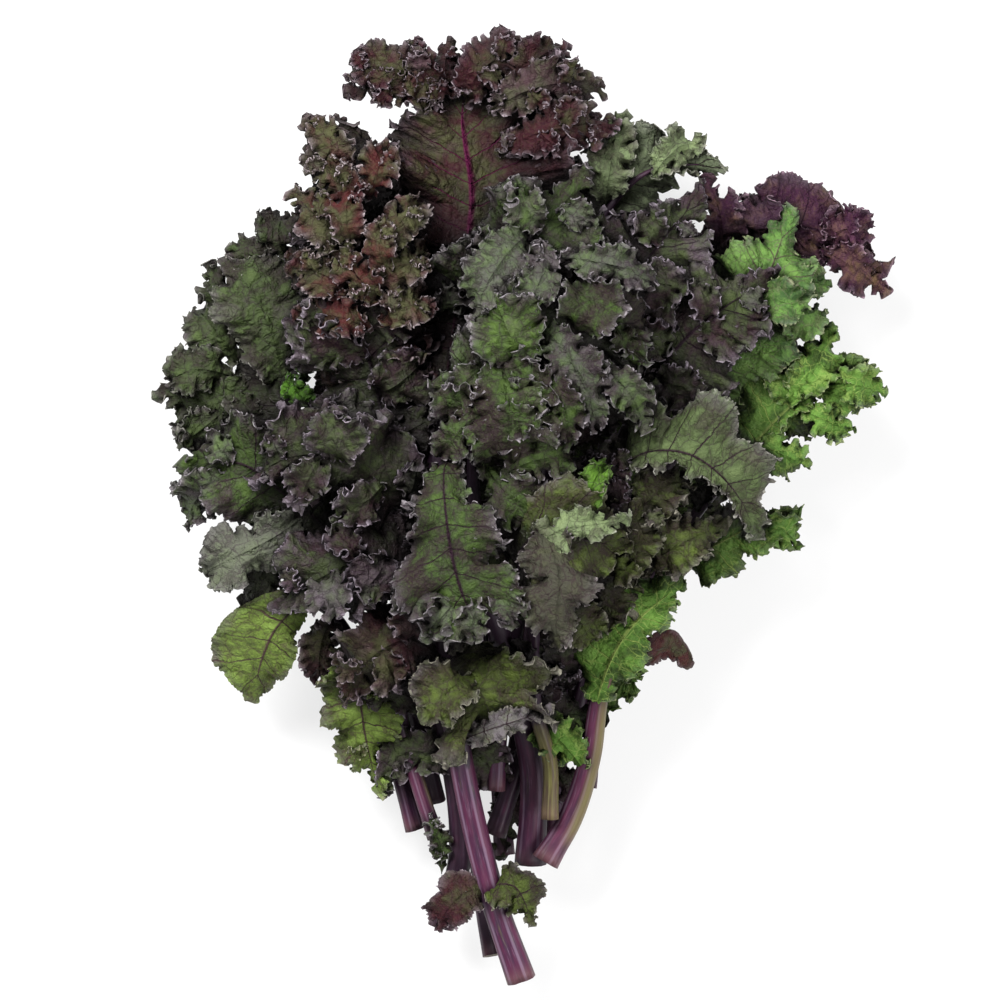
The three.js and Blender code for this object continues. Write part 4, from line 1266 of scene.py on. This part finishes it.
# ---- Settings ----------------------------------------------------------------------------
class KaleLeafSettings(PropertyGroup):
    blade_thickness: FloatProperty(
        name="Blade thickness", description="Thickness of a blade at its midrib",
        default=0.0007, min=0.0002, max=0.002, unit="LENGTH")
    frill_height: FloatProperty(
        name="Frill height", description="Height of the margins' waves, as a factor",
        default=1.0, min=0.0, max=2.0, subtype="FACTOR")
    growth: FloatProperty(
        name="Margin growth", description="How much longer the margin grows than it lies",
        default=2.3, min=1.0, max=8.0, subtype="FACTOR")
    rib_spacing: FloatProperty(
        name="Side vein spacing", description="Distance between two side veins, in centimetres",
        default=1.1, min=0.4, max=3.0)
    columns_per_cm: FloatProperty(
        name="Margin detail", description="Columns of mesh per centimetre of margin",
        default=21.6, min=2.0, max=60.0)


class KaleStageSettings(PropertyGroup):
    floor_colour: FloatVectorProperty(
        name="Floor colour", description="Colour of the surface below",
        default=(0.9, 0.9, 0.9), size=3, subtype="COLOR", min=0, max=1)
    lamp_power: FloatProperty(
        name="Lamp power", description="Power of the large soft lamp",
        default=68.0, min=0.0, unit="POWER")
    camera_height: FloatProperty(
        name="Camera height", description="Height of the camera over the surface",
        default=8.0, min=0.5, max=20, unit="LENGTH")


# ---- Operators ---------------------------------------------------------------------------
class BladesOperator:
    """What the operators of the leaf groups have in common."""

    bl_options = {"REGISTER", "UNDO"}

    def execute(self, context):
        for name in GROUPS[self.group][1]:
            build_blade(name, context.scene.kale_leaves)
        return {"FINISHED"}


# One operator class for each group of blades.
BLADE_OPERATORS = [
    type("KALE_OT_" + group, (BladesOperator, Operator), {
        "__doc__": "Builds " + words, "bl_idname": "kale." + group, "bl_label": words.capitalize(),
        "group": group})
    for group, (words, _) in GROUPS.items()]


class KALE_OT_stalks(Operator):
    """Builds the ridged stalks with their cut ends and midribs"""

    bl_idname = "kale.stalks"
    bl_label = "Stalks"
    bl_options = {"REGISTER", "UNDO"}

    def execute(self, context):
        for name in LEAVES:
            build_stalk(name)
        return {"FINISHED"}


class KALE_OT_shade(Operator):
    """Darkens what lies deep inside the bunch"""

    bl_idname = "kale.shade"
    bl_label = "Inner shade"
    bl_options = {"REGISTER", "UNDO"}

    def execute(self, context):
        shade_bunch()
        return {"FINISHED"}


VIEW_CENTRE = (-0.0098, -0.0015)
VIEW_WIDTH = 0.42
BUNCH_MIDDLE_HEIGHT = 0.06
SENSOR_WIDTH = 36
FLOOR_HALF_SIZE = 6.0
LIT_AT = (0, 0, 0.04)
# The lamps: place, size, and power as a share of the setting.
LAMPS = {"key": ((-0.75, 0.95, 1.5), 0.9, 1.0), "fill": ((1.1, -0.6, 1.4), 1.2, 0.45)}
WHITE = (1.0, 1.0, 1.0)
SOFT_GREY = (0.9, 0.9, 0.9)


class KALE_OT_stage(Operator):
    """Builds the pale floor, the soft lamps and the camera that looks down"""

    bl_idname = "kale.stage"
    bl_label = "Stage"
    bl_options = {"REGISTER", "UNDO"}

    def execute(self, context):
        scene, stage = context.scene, context.scene.kale_stage
        size = FLOOR_HALF_SIZE
        mesh = bpy.data.meshes.new("floor")
        mesh.from_pydata([(-size, -size, 0), (size, -size, 0), (size, size, 0), (-size, size, 0)],
                         [], [(0, 1, 2, 3)])
        floor = bpy.data.objects.new("floor", mesh)
        scene.collection.objects.link(floor)
        floor.data.materials.append(floor_material(stage))

        world = bpy.data.worlds.new("studio")
        scene.world = world
        n = Nodes(world)
        direct, glossy, passed = n.outputs(n.node("ShaderNodeLightPath"), "Is Camera Ray",
                                           "Is Glossy Ray", "Is Transmission Ray")
        seen = n.math("MAXIMUM", direct, n.math("MAXIMUM", glossy, passed))
        soft = n.node("ShaderNodeBackground", {}, {0: SOFT_GREY, 1: 0.4})
        white = n.node("ShaderNodeBackground", {}, {0: WHITE, 1: 1.0})
        n.node("ShaderNodeOutputWorld", {}, {0: n.mix_shaders(seen, soft, white)})

        for name, (place, size, share) in LAMPS.items():
            add_lamp(name, place, size, stage.lamp_power * share)

        camera = bpy.data.cameras.new("camera")
        camera.sensor_width = SENSOR_WIDTH
        camera.lens = SENSOR_WIDTH * stage.camera_height / VIEW_WIDTH
        camera.clip_end = 50
        view = bpy.data.objects.new("camera", camera)
        view.location = (*VIEW_CENTRE, stage.camera_height + BUNCH_MIDDLE_HEIGHT)
        scene.collection.objects.link(view)
        scene.camera = view
        scene.view_settings.view_transform = "Standard"
        return {"FINISHED"}


def add_lamp(name, place, size, power):
    light = bpy.data.lights.new(name, "AREA")
    light.energy, light.size = power, size
    lamp = bpy.data.objects.new(name, light)
    lamp.location = place
    towards = np.array(LIT_AT) - np.array(place)
    lamp.rotation_euler = (math.atan2(np.hypot(towards[0], towards[1]), -towards[2]), 0,
                           math.atan2(towards[1], towards[0]) - math.pi / 2)
    bpy.context.scene.collection.objects.link(lamp)


def floor_material(stage):
    material = bpy.data.materials.new("pale_floor")
    n = Nodes(material)
    matt = n.node("ShaderNodeBsdfDiffuse", {}, {"Color": tuple(stage.floor_colour)})
    white = n.node("ShaderNodeEmission", {}, {"Color": WHITE, "Strength": 1.0})
    direct = n.outputs(n.node("ShaderNodeLightPath"), "Is Camera Ray")[0]
    n.node("ShaderNodeOutputMaterial", {}, {0: n.mix_shaders(direct * 0.72, matt, white)})
    return material


class KALE_PT_bunch(Panel):
    """Lists the bunch's groups and settings"""

    bl_label = "Kale bunch"
    bl_idname = "KALE_PT_bunch"
    bl_space_type = "VIEW_3D"
    bl_region_type = "UI"
    bl_category = "Kale"

    def draw(self, context):
        layout = self.layout
        for settings in (context.scene.kale_leaves, context.scene.kale_stage):
            for label in settings.bl_rna.properties.keys():
                if label not in ("rna_type", "name"):
                    layout.prop(settings, label)
        for operator in (KALE_OT_stalks, *BLADE_OPERATORS, KALE_OT_shade, KALE_OT_stage):
            layout.operator(operator.bl_idname)


CLASSES = (KaleLeafSettings, KaleStageSettings, KALE_OT_stalks, *BLADE_OPERATORS, KALE_OT_shade,
           KALE_OT_stage, KALE_PT_bunch)


def register():
    for cls in CLASSES:
        bpy.utils.register_class(cls)
    bpy.types.Scene.kale_leaves = PointerProperty(type=KaleLeafSettings)
    bpy.types.Scene.kale_stage = PointerProperty(type=KaleStageSettings)


def unregister():
    del bpy.types.Scene.kale_stage
    del bpy.types.Scene.kale_leaves
    for cls in reversed(CLASSES):
        bpy.utils.unregister_class(cls)


def main():
    register()
    bpy.ops.kale.stage()
    bpy.ops.kale.stalks()
    bpy.ops.kale.crown()
    bpy.ops.kale.left()
    bpy.ops.kale.middle()
    bpy.ops.kale.right()
    bpy.ops.kale.far_right()
    bpy.ops.kale.back()
    bpy.ops.kale.leaflets()
    bpy.ops.kale.shade()
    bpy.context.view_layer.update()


if __name__ == "__main__":
    main()
